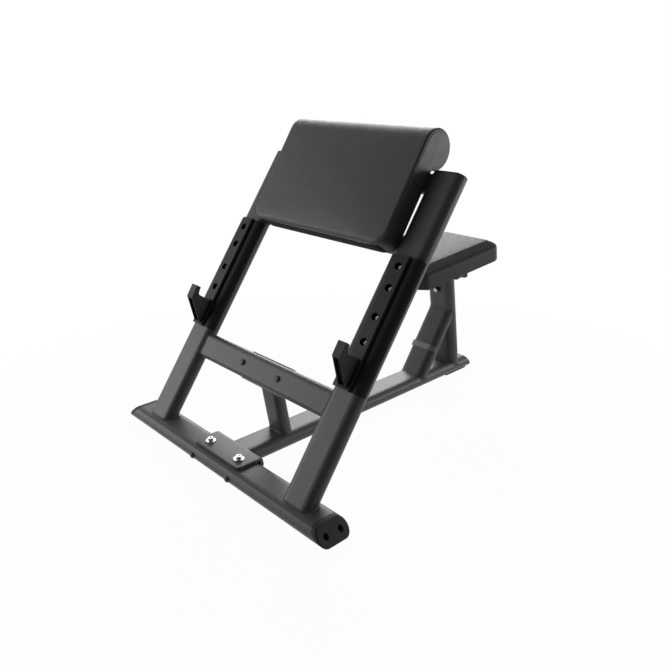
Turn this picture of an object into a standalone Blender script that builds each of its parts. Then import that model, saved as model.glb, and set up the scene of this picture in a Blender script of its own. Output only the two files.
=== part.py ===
"""Preacher bench: a free-standing arm curl bench of flat-oval steel tubes.

Run with blender --background --python part.py, or from the text editor. Lengths are in metres.
X runs across the bench, Y from its front to its rear and Z up. The origin is on the floor, in the
middle of the bench's bounding box. Every piece hangs on an empty that carries its slope.
"""
import bmesh
import bpy
from math import asin, atan2, cos, pi, radians, sin, sqrt, tan
from mathutils import Euler, Matrix, Vector

# Clearances and facets
GAP = 0.0003
ARC_STEPS = 5
FILLET_STEPS = 4
TURN_STEPS = 16
SAME_POINT = 1e-6
WELD_DISTANCE = 1e-5
MERGE_DISTANCE = 1e-4
SMOOTH_ANGLE = radians(35)
CUT_EXTRA = 0.004

# Flat-oval tube, used for the base, the uprights, the beam, the post and the brace
TUBE_WIDTH = 0.100
TUBE_DEPTH = 0.045
TUBE_WALL = 0.003
FOOT_HEIGHT = 0.005

# Base tube, whose lower edge is the longer one
BASE_TOP_LENGTH = 0.8516
BASE_END_SLANT = radians(41)
END_CAP_THICKNESS = 0.016
END_CAP_PLUG = 0.022
END_CAP_SCREW_SPACING = 0.047
END_CAP_HOLE_RADIUS = 0.0078
END_CAP_HOLE_DEPTH = 0.012
END_CAP_EDGE = 0.005

# Uprights, leaning back from the base tube
UPRIGHT_SPACING = 0.646
UPRIGHT_LEAN = 54.75
UPRIGHT_FRONT_Y = -0.022
UPRIGHT_LENGTH = 0.9255
UPRIGHT_START = -0.004
UPRIGHT_CAP_THICKNESS = 0.003
UPRIGHT_CAP_PLUG = 0.020
UPRIGHT_CAP_EDGE = 0.0015

# Guards round the uprights, with the strip and the hook on their front
GUARD_START = 0.310
GUARD_END = 0.678
GUARD_THICKNESS = 0.0082
GUARD_REACH = 0.012
STRIP_WIDTH = 0.046
STRIP_HEIGHT = 0.0178
STRIP_CHAMFER = 0.002
STRIP_ROOT_RISE = 0.0004
GUARD_SCREWS_FROM_START = (0.1277, 0.1967, 0.2767, 0.3366)
GUARD_HOLE_RADIUS = 0.0105
GUARD_HOLE_DEPTH = 0.0135
HOOK_WIDTH = 0.0295
HOOK_REACH = 0.0875
HOOK_KNEE_REACH = 0.086
HOOK_FOOT_RISE = 0.002
HOOK_TIP_TAPER = 0.004
HOOK_KNEE_RISE = 0.063
HOOK_TIP_RISE = 0.1035
HOOK_TIP_THICKNESS = 0.014
THROAT_RISE = 0.0805
THROAT_FILLET = 0.008
HOOK_ROOT = 0.006
HOOK_EDGE = 0.0012
HOOK_RECESS_WIDTH = 0.0205
HOOK_RECESS_DEPTH = 0.008
HOOK_RECESS_SHARE = (0.10, 0.95)

# Crossbar between the uprights, and the plate that bolts the strut to it
CROSSBAR_HEIGHT = 0.078
CROSSBAR_DEPTH = 0.030
CROSSBAR_RISE = 0.262
CROSSBAR_BOLT_SPACING = 0.158
FLANGE_WIDTH = 0.190
FLANGE_HEIGHT = 0.0845
FLANGE_THICKNESS = 0.008
FLANGE_CORNER = 0.008

# Strut from the beam to the plate
STRUT_WIDTH = 0.080
STRUT_DEPTH = 0.038
STRUT_Y = 0.2035
STRUT_LEAN = 100.0

# Centre beam and the saddle plate that carries its front end
SADDLE_HALF_WIDTH = 0.103
SADDLE_THICKNESS = 0.008
SADDLE_FRONT_Y = -0.027
SADDLE_BOTTOM_Z = 0.004
SADDLE_BEND = 0.003
SADDLE_CORNER = 0.010
SADDLE_BOLT_SPACING = 0.135
SADDLE_BOLT_Y = 0.003
BASE_BOLT_SPACING = 0.168
BASE_BOLT_Z = 0.0215
BEAM_REAR_Y = 1.075
BEAM_END_SLANT = radians(33.7)
BEAM_CAP_THICKNESS = 0.012
BEAM_CAP_RECESS = 0.0015

# Seat post, brace and band
POST_Y = 0.99425
POST_LEAN = 99.8
BRACE_Y = 0.8205
BRACE_LEAN = 55.7
BAND_THICKNESS = 0.0057
BAND_HEIGHT = 0.020
BAND_REACH = 0.013
BAND_RISE = 0.092
POST_BOLT_Z = 0.331
BUSHING_RADIUS = 0.0085
BUSHING_LENGTH = 0.0075

# Arm pad: front face, roll along its top and board behind it
PAD_WIDTH = 0.541
PAD_ROLL_RADIUS = 0.0529
PAD_ROLL_ABOVE = 0.0535
PAD_ROLL_DEPTH = -0.0076
PAD_STEEPER = 1.87
PAD_LENGTH = 0.300
PAD_CORNER = 0.045
PAD_EDGE = 0.013
PAD_END_EDGE = 0.005
PAD_CROWN = 0.003
PAD_FLAT_STEPS = 4
PAD_CORNER_STEPS = 5
PAD_EDGE_STEPS = 3
PAD_FRONT_STEPS = 7
PAD_ROLL_STEPS = 20
PAD_BACK_STEPS = 4
BOARD_THICKNESS = 0.015
BOARD_BACK = 0.013
BOARD_INSET = 0.004
RAIL_HEIGHT = 0.058
RAIL_DEPTH = 0.030
RAIL_WALL = 0.0025
UPPER_RAIL_DROP = 0.087
LOWER_RAIL_DROP = 0.264
PAD_BOLT_SPACING = 0.380
PAD_BOLT_GRIP = 0.010

# Seat, square to its post, with its board and bracket; it tapers to a curved front
SEAT_Y = 0.900
SEAT_TOP = 0.4652
SEAT_REAR = 0.191
SEAT_REAR_HALF = 0.132
SEAT_FRONT = -0.145
SEAT_FRONT_HALF = 0.0811
SEAT_NOSE = 0.025
SEAT_NOSE_STEPS = 6
SEAT_THICKNESS = 0.070
SEAT_BOARD = 0.012
SEAT_BOARD_INSET = 0.002
SEAT_REAR_CORNER = 0.028
SEAT_FRONT_CORNER = 0.012
SEAT_PANEL_CORNER = 0.008
SEAT_CROWN = 0.004
SEAT_TUCK = 0.0035
SEAT_BORDER = 0.038
SEAT_END_BORDER = 0.022
SEAT_BORDER_DROP = 0.0175
SEAT_SHOULDER = 0.013
SEAT_PANEL_ROWS = (0.25, 0.5, 0.75)
BRACKET_WIDTH = 0.090
BRACKET_PLATE = 0.006
BRACKET_FRONT = -0.045
BRACKET_REAR = 0.120
BRACKET_CORNER = 0.008
STRAP_WIDTH = 0.200
STRAP_LENGTH = 0.066
STRAP_Y = 0.012
GUSSET_DEPTH = 0.038
GUSSET_THICKNESS = 0.006
SEAT_BOLT_SPACING = 0.183
SEAT_BOLT_Y = 0.031
SEAT_BOLT_GRIP = 0.008

# Feet
REAR_FOOT_START = 0.957
REAR_FOOT_END = 1.066
REAR_FOOT_HALF_WIDTH = 0.042
FRONT_FOOT_LENGTH = 0.070
FRONT_FOOT_HALF_WIDTH = 0.030
FRONT_FOOT_INSET = 0.034
FOOT_WRAP = 0.010
FOOT_FILLET = 0.004

# Bolts, washers and nuts
BOLT_RADIUS = 0.005
SOCKET_HEAD_RADIUS = 0.0085
SOCKET_HEAD_HEIGHT = 0.008
SMALL_HEAD_RADIUS = 0.0068
SMALL_HEAD_HEIGHT = 0.0070
SEAT_HEAD_RADIUS = 0.0115
SEAT_HEAD_HEIGHT = 0.009
WASHER_RADIUS = 0.0145
WASHER_THICKNESS = 0.0025
DOME_RADIUS = 0.0095
DOME_HEIGHT = 0.006
NUT_RADIUS = 0.0095
NUT_HEIGHT = 0.009
SCREW_RADIUS = 0.003
SCREW_HEAD_RADIUS = 0.0052
SCREW_HEAD_HEIGHT = 0.0035
CAP_SCREW_HEAD_RADIUS = 0.0062
CAP_SCREW_RADIUS = 0.0025
THREAD_PAST = 0.006
COUNTERBORE_OPEN = 0.04

# Places that follow from the sizes above
TUBE_TOP = TUBE_DEPTH
TUBE_MIDDLE = TUBE_DEPTH / 2
TUBE_RADIUS = TUBE_DEPTH / 2
UPRIGHT_X = UPRIGHT_SPACING / 2
BASE_CAP_END = BASE_TOP_LENGTH / 2 + tan(BASE_END_SLANT) * TUBE_MIDDLE
BASE_TUBE_END = BASE_CAP_END - END_CAP_THICKNESS
FRONT_FOOT_X = (BASE_TUBE_END + tan(BASE_END_SLANT) * TUBE_MIDDLE - FRONT_FOOT_INSET
                - FRONT_FOOT_LENGTH / 2)
PAD_ROLL_RISE = UPRIGHT_LENGTH + PAD_ROLL_ABOVE
SADDLE_BACK_Y = TUBE_WIDTH / 2 + GAP + SADDLE_THICKNESS
SADDLE_TOP = TUBE_TOP + GAP + SADDLE_THICKNESS
SEAT_UNDER = -SEAT_THICKNESS
CUSHION_THICKNESS = SEAT_THICKNESS - SEAT_BOARD - GAP
BOARD_FRONT = BOARD_BACK - BOARD_THICKNESS
BENCH_FRONT = -(TUBE_WIDTH / 2 + GAP + DOME_HEIGHT)
SEAT_TILT = POST_LEAN - 90
BENCH_REAR = (SEAT_Y + (SEAT_REAR - SEAT_BOARD_INSET) * cos(radians(SEAT_TILT))
              + SEAT_THICKNESS * sin(radians(SEAT_TILT)))
BENCH_MIDDLE = (BENCH_FRONT + BENCH_REAR) / 2

# Turns that lay a piece's own Z along an axis of its parent
ALONG_X = (radians(90), 0, radians(90))
ALONG_Y = (radians(-90), 0, 0)
FACING_FRONT = (radians(90), 0, 0)
FACING_REAR = (radians(-90), 0, 0)
FACING_DOWN = (radians(180), 0, 0)

# Colour, roughness and metallic value of each finish
FINISHES = {
    "powder_coat": ((0.10, 0.10, 0.105), 0.45, 0.0),
    "vinyl": ((0.055, 0.055, 0.058), 0.50, 0.0),
    "moulding": ((0.022, 0.022, 0.023), 0.55, 0.0),
    "rubber": ((0.015, 0.015, 0.015), 0.80, 0.0),
    "grey_moulding": ((0.10, 0.10, 0.105), 0.38, 0.0),
    "bright_steel": ((0.72, 0.72, 0.72), 0.22, 1.0),
    "dark_steel": ((0.06, 0.06, 0.06), 0.40, 1.0),
    "plywood": ((0.30, 0.22, 0.14), 0.70, 0.0),
}

bench = bpy.data.collections.new("preacher_bench")
cutters = bpy.data.collections.new("cutters")
tubes = {}


def clear_scene():
    for old in list(bpy.data.objects):
        bpy.data.objects.remove(old)
    bpy.context.scene.collection.children.link(bench)
    bpy.context.scene.collection.children.link(cutters)


def frame(name, parent, location, lean=0.0):
    """Empty at a place of its parent, leaning by an angle in degrees about X."""
    empty = bpy.data.objects.new(name, None)
    empty.location = location
    empty.rotation_euler = (radians(lean), 0, 0)
    empty.parent = parent
    bench.objects.link(empty)
    bpy.context.view_layer.update()
    return empty


def place(piece, parent, location=(0, 0, 0), rotation=(0, 0, 0)):
    piece.parent = parent
    piece.location = location
    piece.rotation_euler = rotation
    return piece


def finish(piece, kind):
    """Give a piece its own material of one of the finishes, and smooth its round sides."""
    colour, roughness, metallic = FINISHES[kind]
    material = bpy.data.materials.new(piece.name + "_" + kind)
    material.use_nodes = True
    shader = material.node_tree.nodes["Principled BSDF"]
    shader.inputs["Base Color"].default_value = (*colour, 1.0)
    shader.inputs["Roughness"].default_value = roughness
    shader.inputs["Metallic"].default_value = metallic
    piece.data.materials.append(material)
    if piece.data.polygons:
        piece.data.shade_smooth()
        piece.data.set_sharp_from_angle(angle=SMOOTH_ANGLE)
    return piece


def as_cutter(piece):
    bench.objects.unlink(piece)
    cutters.objects.link(piece)
    piece.hide_render = True
    piece.display_type = "WIRE"
    return piece


def boolean(piece, other, operation):
    modifier = piece.modifiers.new(operation.lower() + "_" + other.name, "BOOLEAN")
    modifier.operation = operation
    modifier.solver = "EXACT"
    modifier.object = other


# Outlines

def rounded(corners, steps=FILLET_STEPS):
    """Outline through corners (x, y, radius), each rounded by its own radius."""
    points = []
    for k, (x, y, radius) in enumerate(corners):
        corner = Vector((x, y))
        before = (Vector(corners[k - 1][:2]) - corner).normalized()
        after = (Vector(corners[(k + 1) % len(corners)][:2]) - corner).normalized()
        if radius == 0:
            points.append(corner)
            continue
        half = before.angle(after) / 2
        centre = corner + (before + after).normalized() * radius / sin(half)
        first = corner + before * radius / tan(half) - centre
        last = corner + after * radius / tan(half) - centre
        start = atan2(first.y, first.x)
        sweep = (atan2(last.y, last.x) - start + pi) % (2 * pi) - pi
        for step in range(steps + 1):
            angle = start + sweep * step / steps
            point = centre + radius * Vector((cos(angle), sin(angle)))
            if not points or (point - points[-1]).length > SAME_POINT:
                points.append(point)
    if (points[0] - points[-1]).length < SAME_POINT:
        points.pop()
    return points


def rounded_rect(size_x, size_y, radius, steps=FILLET_STEPS):
    corners = [(sx * size_x / 2, sy * size_y / 2, radius)
               for sx, sy in ((1, 1), (-1, 1), (-1, -1), (1, -1))]
    return rounded(corners, steps)


def oval(size_x, size_y, steps=ARC_STEPS):
    return rounded_rect(size_x, size_y, min(size_x, size_y) / 2, steps)


def regular(radius, count):
    return [Vector((radius * cos(2 * pi * k / count), radius * sin(2 * pi * k / count)))
            for k in range(count)]


def arc(centre_x, radius, start, end, steps):
    """Points on an arc about (centre_x, 0), from one angle to another."""
    angles = [start + (end - start) * k / steps for k in range(steps + 1)]
    return [(centre_x + radius * cos(a), radius * sin(a)) for a in angles]


def wrap_outline(thickness, reach, strip=()):
    """Outline that wraps the front of the common tube, which faces -Y; the tube's centre is the origin.

    Its legs reach back from the tube's front by reach. strip is what stands on the front, left to
    right, as points (x, y).
    """
    centre_x = TUBE_WIDTH / 2 - TUBE_RADIUS
    leg_y = reach - TUBE_RADIUS
    inner = TUBE_RADIUS + GAP
    outer = inner + thickness
    steps = ARC_STEPS + 1
    right_outer = arc(centre_x, outer, -pi / 2, asin(leg_y / outer), steps)
    right_inner = arc(centre_x, inner, asin(leg_y / inner), -pi / 2, steps)
    left_inner = [(-x, y) for x, y in reversed(right_inner)]
    left_outer = [(-x, y) for x, y in reversed(right_outer)]
    return list(strip) + right_outer + right_inner + left_inner + left_outer


# Solids

def extrusion(name, outlines, length):
    """Solid between closed outlines, drawn in XY and extruded along Z about Z = 0."""
    curve = bpy.data.curves.new(name, "CURVE")
    curve.dimensions = "2D"
    curve.fill_mode = "BOTH"
    curve.extrude = length / 2
    for outline in outlines:
        spline = curve.splines.new("POLY")
        spline.points.add(len(outline) - 1)
        for point, (x, y) in zip(spline.points, outline):
            point.co = (x, y, 0, 1)
        spline.use_cyclic_u = True
    drawn = bpy.data.objects.new(name + "_outline", curve)
    bench.objects.link(drawn)
    graph = bpy.context.evaluated_depsgraph_get()
    mesh = bpy.data.meshes.new_from_object(drawn.evaluated_get(graph))
    mesh.name = name
    bpy.data.objects.remove(drawn)
    bpy.data.curves.remove(curve)
    shape = bmesh.new()
    shape.from_mesh(mesh)
    bmesh.ops.remove_doubles(shape, verts=shape.verts, dist=WELD_DISTANCE)
    bmesh.ops.recalc_face_normals(shape, faces=shape.faces)
    shape.to_mesh(mesh)
    shape.free()
    piece = bpy.data.objects.new(name, mesh)
    bench.objects.link(piece)
    return piece


def mitre(piece, start, end):
    """Move an extrusion's ends to (height on its axis, slope along its own Y)."""
    for vertex in piece.data.vertices:
        height, slope = end if vertex.co.z > 0 else start
        vertex.co.z = height + slope * vertex.co.y
    return piece


def tube(name, size, start, end, wall, parent, location=(0, 0, 0), rotation=(0, 0, 0)):
    """Hollow flat-oval tube along its own Z, with its ends open."""
    tubes[name] = (size, start, end, parent, location, rotation)
    inside = (size[0] - 2 * wall, size[1] - 2 * wall)
    piece = mitre(extrusion(name, [oval(*size), oval(*inside)], 1.0), start, end)
    return finish(place(piece, parent, location, rotation), "powder_coat")


def tube_room(name):
    """Cutter of the whole room that a tube takes up, with the gap round it."""
    cutter_name = "room_of_" + name
    if cutter_name in bpy.data.objects:
        return bpy.data.objects[cutter_name]
    size, start, end, parent, location, rotation = tubes[name]
    grown = (size[0] + 2 * GAP, size[1] + 2 * GAP)
    room = mitre(extrusion(cutter_name, [oval(*grown)], 1.0), start, end)
    return as_cutter(place(room, parent, location, rotation))


def cope(piece, *names):
    """Shape a piece to the tubes that it meets."""
    for name in names:
        boolean(piece, tube_room(name), "DIFFERENCE")


def drill(piece, holes, radius, length, parent, rotation=(0, 0, 0)):
    """Cut a set of round holes; each hole's middle is a place of the parent."""
    turn = Euler(rotation).to_matrix().to_4x4()
    shape = bmesh.new()
    for location in holes:
        bmesh.ops.create_cone(shape, cap_ends=True, segments=TURN_STEPS, radius1=radius,
                              radius2=radius, depth=length, matrix=Matrix.Translation(location) @ turn)
    name = f"holes_{len(piece.modifiers)}_in_{piece.name}"
    mesh = bpy.data.meshes.new(name)
    shape.to_mesh(mesh)
    shape.free()
    cutter = bpy.data.objects.new(name, mesh)
    bench.objects.link(cutter)
    boolean(piece, as_cutter(place(cutter, parent)), "DIFFERENCE")


def turned(name, profile, parent, location, rotation=(0, 0, 0)):
    """Solid of revolution; profile runs (radius, height) from its top to its bottom."""
    mesh = bpy.data.meshes.new(name)
    vertices = [(radius, 0, height) for radius, height in profile]
    mesh.from_pydata(vertices, [(k, k + 1) for k in range(len(profile) - 1)], [])
    piece = bpy.data.objects.new(name, mesh)
    bench.objects.link(piece)
    turn = piece.modifiers.new("turn", "SCREW")
    turn.steps = TURN_STEPS
    turn.render_steps = TURN_STEPS
    turn.use_merge_vertices = True
    turn.merge_threshold = MERGE_DISTANCE
    return place(piece, parent, location, rotation)


def loft(name, sections):
    """Closed skin over sections with the same number of points, flat at both ends."""
    shape = bmesh.new()
    rows = [[shape.verts.new(point) for point in section] for section in sections]
    for lower, upper in zip(rows, rows[1:]):
        for k in range(len(lower)):
            shape.faces.new((lower[k - 1], lower[k], upper[k], upper[k - 1]))
    shape.faces.new(rows[0])
    shape.faces.new(rows[-1])
    bmesh.ops.recalc_face_normals(shape, faces=shape.faces)
    mesh = bpy.data.meshes.new(name)
    shape.to_mesh(mesh)
    shape.free()
    piece = bpy.data.objects.new(name, mesh)
    bench.objects.link(piece)
    return piece


# Fasteners

def socket_profile(head_radius, head_height, shank_radius, shank_length):
    """Socket head with its recess, over a plain shank; the head's seat is at height 0."""
    socket_radius = head_radius * 0.5
    chamfer = head_radius * 0.15
    return [(0, head_height * 0.45), (socket_radius, head_height * 0.45),
            (socket_radius, head_height), (head_radius - chamfer, head_height),
            (head_radius, head_height - chamfer), (head_radius, 0), (shank_radius, 0),
            (shank_radius, -shank_length), (0, -shank_length)]


def dome_profile(head_radius, head_height, shank_radius, shank_length, steps=4):
    """Low dome over a plain shank; the head's seat is at height 0."""
    edge = head_height * 0.2
    rise = head_height - edge
    dome = [(head_radius * sin(pi / 2 * k / steps), edge + rise * cos(pi / 2 * k / steps))
            for k in range(steps + 1)]
    return dome + [(head_radius, 0), (shank_radius, 0), (shank_radius, -shank_length),
                   (0, -shank_length)]


def nut(name, parent, location, rotation):
    outlines = [regular(NUT_RADIUS, 6), regular(BOLT_RADIUS + GAP, TURN_STEPS)]
    piece = extrusion(name, outlines, NUT_HEIGHT)
    return finish(place(piece, parent, location, rotation), "dark_steel")


def ring(name, outer_radius, inner_radius, thickness, parent, location, rotation=(0, 0, 0)):
    outlines = [regular(outer_radius, TURN_STEPS), regular(inner_radius, TURN_STEPS)]
    return place(extrusion(name, outlines, thickness), parent, location, rotation)


def meet(tube_frame, plane_frame, point, normal):
    """Where a plane crosses a frame: its height on the Z axis, and its slope along Y."""
    to_tube = tube_frame.matrix_world.inverted() @ plane_frame.matrix_world
    spot = to_tube @ Vector(point)
    facing = to_tube.to_3x3() @ Vector(normal)
    return spot.dot(facing) / facing.z, -facing.y / facing.z


# Sub-parts

def build_base(floor):
    """Base tube across the front, with its slanted end caps and their screws."""
    slope = tan(BASE_END_SLANT)
    centre = (0, 0, TUBE_MIDDLE)
    base = tube("base_tube", (TUBE_WIDTH, TUBE_DEPTH), (-BASE_TUBE_END, slope), (BASE_TUBE_END, -slope),
                TUBE_WALL, floor, centre, ALONG_X)
    for side, word in ((-1, "left"), (1, "right")):
        ends = (side * (BASE_TUBE_END - END_CAP_PLUG), side * (BASE_TUBE_END + GAP), side * BASE_CAP_END)
        cap = end_cap("base_end_cap_" + word, ends, END_CAP_EDGE, -side * slope, floor, centre, ALONG_X)
        for number, spread in enumerate((-1, 1), 1):
            spot = (side * (BASE_CAP_END - END_CAP_HOLE_DEPTH), spread * END_CAP_SCREW_SPACING / 2,
                    TUBE_MIDDLE)
            outward = (0, side * radians(90), 0)
            length = END_CAP_PLUG + END_CAP_THICKNESS
            counterbore(cap, number, END_CAP_HOLE_RADIUS, CAP_SCREW_RADIUS, length, floor, spot, outward)
            profile = dome_profile(CAP_SCREW_HEAD_RADIUS, SCREW_HEAD_HEIGHT, CAP_SCREW_RADIUS,
                                   length - END_CAP_HOLE_DEPTH)
            seat = (spot[0] + side * GAP, spot[1], spot[2])
            finish(turned(f"end_cap_screw_{word}_{number}", profile, floor, seat, outward), "dark_steel")
    return base


def end_cap(name, ends, edge, slope, parent, location, rotation):
    """Moulded cap: a plate in line with the tube, whose rim is rounded, and a plug inside the tube.

    ends are the heights of the plug's inner end, the tube's end and the plate's face.
    """
    plug_end, seat, face = ends
    outward = 1 if face > seat else -1
    levels = [(seat, 0)]
    for step in range(FILLET_STEPS + 1):
        turn = pi / 2 * step / FILLET_STEPS
        levels.append((face - outward * edge * (1 - sin(turn)), edge * (1 - cos(turn))))
    sections = [[(x, y, height + slope * y) for x, y in oval(TUBE_WIDTH - 2 * inset, TUBE_DEPTH - 2 * inset)]
                for height, inset in levels]
    cap = loft(name, sections)
    inside = 2 * (TUBE_WALL + GAP)
    low, high = sorted((plug_end, (seat + face) / 2))
    plug = extrusion("plug_of_" + name, [oval(TUBE_WIDTH - inside, TUBE_DEPTH - inside)], 1.0)
    mitre(plug, (low, slope), (high, slope))
    boolean(cap, as_cutter(place(plug, parent, location, rotation)), "UNION")
    return finish(place(cap, parent, location, rotation), "moulding")


def counterbore(piece, number, head_radius, shank_radius, length, parent, seat, rotation):
    """Cut a stepped hole whose step lies at seat, opening along +Z of its rotation."""
    profile = [(0, COUNTERBORE_OPEN), (head_radius, COUNTERBORE_OPEN), (head_radius, 0),
               (shank_radius + GAP, 0), (shank_radius + GAP, -length), (0, -length)]
    name = f"counterbore_{number}_in_{piece.name}"
    boolean(piece, as_cutter(turned(name, profile, parent, seat, rotation)), "DIFFERENCE")


def build_uprights(lean_frame):
    """Uprights with their top caps, guards, hooks and screws."""
    tube_end = UPRIGHT_LENGTH - UPRIGHT_CAP_THICKNESS - GAP
    for side, word in ((-1, "left"), (1, "right")):
        centre = (side * UPRIGHT_X, TUBE_MIDDLE, 0)
        upright = tube("upright_" + word, (TUBE_WIDTH, TUBE_DEPTH), (UPRIGHT_START, 0), (tube_end, 0),
                       TUBE_WALL, lean_frame, centre)
        cope(upright, "base_tube")
        ends = (tube_end - UPRIGHT_CAP_PLUG, tube_end + GAP, UPRIGHT_LENGTH)
        end_cap("upright_cap_" + word, ends, UPRIGHT_CAP_EDGE, 0, lean_frame, centre, (0, 0, 0))
        guard = build_guard("rack_cover_" + word, side, lean_frame)
        seat_y = GUARD_HOLE_DEPTH - STRIP_HEIGHT
        for number, rise in enumerate(GUARD_SCREWS_FROM_START, 1):
            seat = (side * UPRIGHT_X, seat_y, GUARD_START + rise)
            length = -seat_y + TUBE_WALL + THREAD_PAST
            counterbore(guard, number, GUARD_HOLE_RADIUS, SCREW_RADIUS, length, lean_frame, seat,
                        FACING_FRONT)
            profile = socket_profile(SCREW_HEAD_RADIUS, SCREW_HEAD_HEIGHT, SCREW_RADIUS, length)
            seat = (seat[0], seat_y - GAP, seat[2])
            screw = turned(f"rack_cover_screw_{word}_{number}", profile, lean_frame, seat, FACING_FRONT)
            finish(screw, "bright_steel")
        holes = [(side * UPRIGHT_X, 0, GUARD_START + rise) for rise in GUARD_SCREWS_FROM_START]
        drill(upright, holes, SCREW_RADIUS + GAP, 2 * TUBE_WALL + CUT_EXTRA, lean_frame, FACING_FRONT)


def build_guard(name, side, lean_frame):
    """Moulded guard round the upright's front: shell, strip and bar hook in one piece."""
    half = STRIP_WIDTH / 2
    front = -TUBE_RADIUS - STRIP_HEIGHT
    root = -TUBE_RADIUS - GAP - GUARD_THICKNESS - STRIP_ROOT_RISE
    strip = [(-half, root), (-half, front + STRIP_CHAMFER), (-half + STRIP_CHAMFER, front),
             (half - STRIP_CHAMFER, front), (half, front + STRIP_CHAMFER), (half, root)]
    length = GUARD_END - GUARD_START
    guard = extrusion(name, [wrap_outline(GUARD_THICKNESS, GUARD_REACH, strip)], length)
    place(guard, lean_frame, (side * UPRIGHT_X, TUBE_MIDDLE, GUARD_START + length / 2))
    hook = build_hook("hook_of_" + name, (side * UPRIGHT_X, 0, GUARD_START), lean_frame)
    boolean(guard, as_cutter(hook), "UNION")
    return finish(guard, "moulding")


def build_hook(name, location, lean_frame):
    """Bar hook with its throat, rounded edges and the recess along the front of its lower face."""
    sunk = STRIP_HEIGHT - HOOK_ROOT
    foot = STRIP_HEIGHT - 2 * GAP
    tip_back = HOOK_REACH - HOOK_TIP_THICKNESS
    profile = [(-sunk, HOOK_FOOT_RISE, 0), (-sunk, THROAT_RISE + THROAT_FILLET, 0),
               (-foot, THROAT_RISE + THROAT_FILLET, 0), (-foot, THROAT_RISE, THROAT_FILLET),
               (-tip_back + HOOK_TIP_TAPER, THROAT_RISE, THROAT_FILLET), (-tip_back, HOOK_TIP_RISE, 0),
               (-HOOK_REACH, HOOK_TIP_RISE, 0), (-HOOK_KNEE_REACH, HOOK_KNEE_RISE, 0),
               (-foot, HOOK_FOOT_RISE, 0)]
    hook = extrusion(name, [rounded(profile)], HOOK_WIDTH)
    edge = hook.modifiers.new("edge", "BEVEL")
    edge.width = HOOK_EDGE
    edge.segments = 2
    edge.angle_limit = SMOOTH_ANGLE
    low = Vector((-foot, HOOK_FOOT_RISE))
    knee = Vector((-HOOK_KNEE_REACH, HOOK_KNEE_RISE))
    inward = Vector((knee.y - low.y, low.x - knee.x)).normalized() * HOOK_RECESS_DEPTH
    first, last = [low.lerp(knee, share) for share in HOOK_RECESS_SHARE]
    outline = [first - inward, last - inward, last + inward, first + inward]
    recess = extrusion("recess_in_" + name, [outline], HOOK_RECESS_WIDTH)
    boolean(hook, as_cutter(place(recess, lean_frame, location, ALONG_X)), "DIFFERENCE")
    return place(hook, lean_frame, location, ALONG_X)


def build_crossbar(floor, lean_frame):
    """Crossbar between the uprights, the bolted flange behind it and the strut that carries it."""
    half = UPRIGHT_X - TUBE_WIDTH / 2 + TUBE_RADIUS
    bar = tube("crossbar", (CROSSBAR_DEPTH, CROSSBAR_HEIGHT), (-half, 0), (half, 0), TUBE_WALL,
               lean_frame, (0, TUBE_MIDDLE, CROSSBAR_RISE), ALONG_X)
    cope(bar, "upright_left", "upright_right")
    flange_front = TUBE_MIDDLE + CROSSBAR_DEPTH / 2 + GAP
    flange_back = flange_front + FLANGE_THICKNESS
    flange = extrusion("strut_flange", [rounded_rect(FLANGE_WIDTH, FLANGE_HEIGHT, FLANGE_CORNER)],
                       FLANGE_THICKNESS)
    place(flange, lean_frame, (0, flange_front + FLANGE_THICKNESS / 2, CROSSBAR_RISE), FACING_FRONT)
    finish(flange, "powder_coat")
    spots = [side * CROSSBAR_BOLT_SPACING / 2 for side in (-1, 1)]
    bar_holes = [(x, TUBE_MIDDLE, CROSSBAR_RISE) for x in spots]
    drill(bar, bar_holes, BOLT_RADIUS + GAP, CROSSBAR_DEPTH + CUT_EXTRA, lean_frame, FACING_FRONT)
    flange_holes = [(x, flange_back, CROSSBAR_RISE) for x in spots]
    drill(flange, flange_holes, BOLT_RADIUS + GAP, 3 * FLANGE_THICKNESS, lean_frame, FACING_FRONT)
    bar_front = TUBE_MIDDLE - CROSSBAR_DEPTH / 2 - GAP
    length = flange_back + GAP + NUT_HEIGHT - bar_front + THREAD_PAST / 2
    for number, x in enumerate(spots, 1):
        profile = dome_profile(DOME_RADIUS, DOME_HEIGHT, BOLT_RADIUS, length)
        bolt = turned(f"crossbar_bolt_{number}", profile, lean_frame, (x, bar_front, CROSSBAR_RISE),
                      FACING_FRONT)
        finish(bolt, "dark_steel")
        nut(f"crossbar_nut_{number}", lean_frame, (x, flange_back + GAP + NUT_HEIGHT / 2, CROSSBAR_RISE),
            FACING_FRONT)
    strut_frame = frame("strut_frame", floor, (0, STRUT_Y, TUBE_TOP), STRUT_LEAN - 90)
    top = meet(strut_frame, lean_frame, (0, flange_back + GAP, 0), (0, 1, 0))
    strut = tube("strut", (STRUT_WIDTH, STRUT_DEPTH), (-TUBE_MIDDLE, 0), top, TUBE_WALL, strut_frame)
    cope(strut, "center_beam")


def build_beam(floor):
    """Centre beam along the floor, with the plug in its rear end."""
    slope = tan(BEAM_END_SLANT)
    centre = (0, 0, TUBE_MIDDLE)
    tube("center_beam", (TUBE_WIDTH, TUBE_DEPTH), (SADDLE_BACK_Y + GAP, 0), (BEAM_REAR_Y, slope),
         TUBE_WALL, floor, centre, ALONG_Y)
    inside = 2 * (TUBE_WALL + GAP)
    plug = extrusion("beam_end_cap", [oval(TUBE_WIDTH - inside, TUBE_DEPTH - inside)], 1.0)
    cap_end = BEAM_REAR_Y - BEAM_CAP_RECESS
    mitre(plug, (cap_end - BEAM_CAP_THICKNESS, slope), (cap_end, slope))
    finish(place(plug, floor, centre, ALONG_Y), "moulding")


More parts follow.
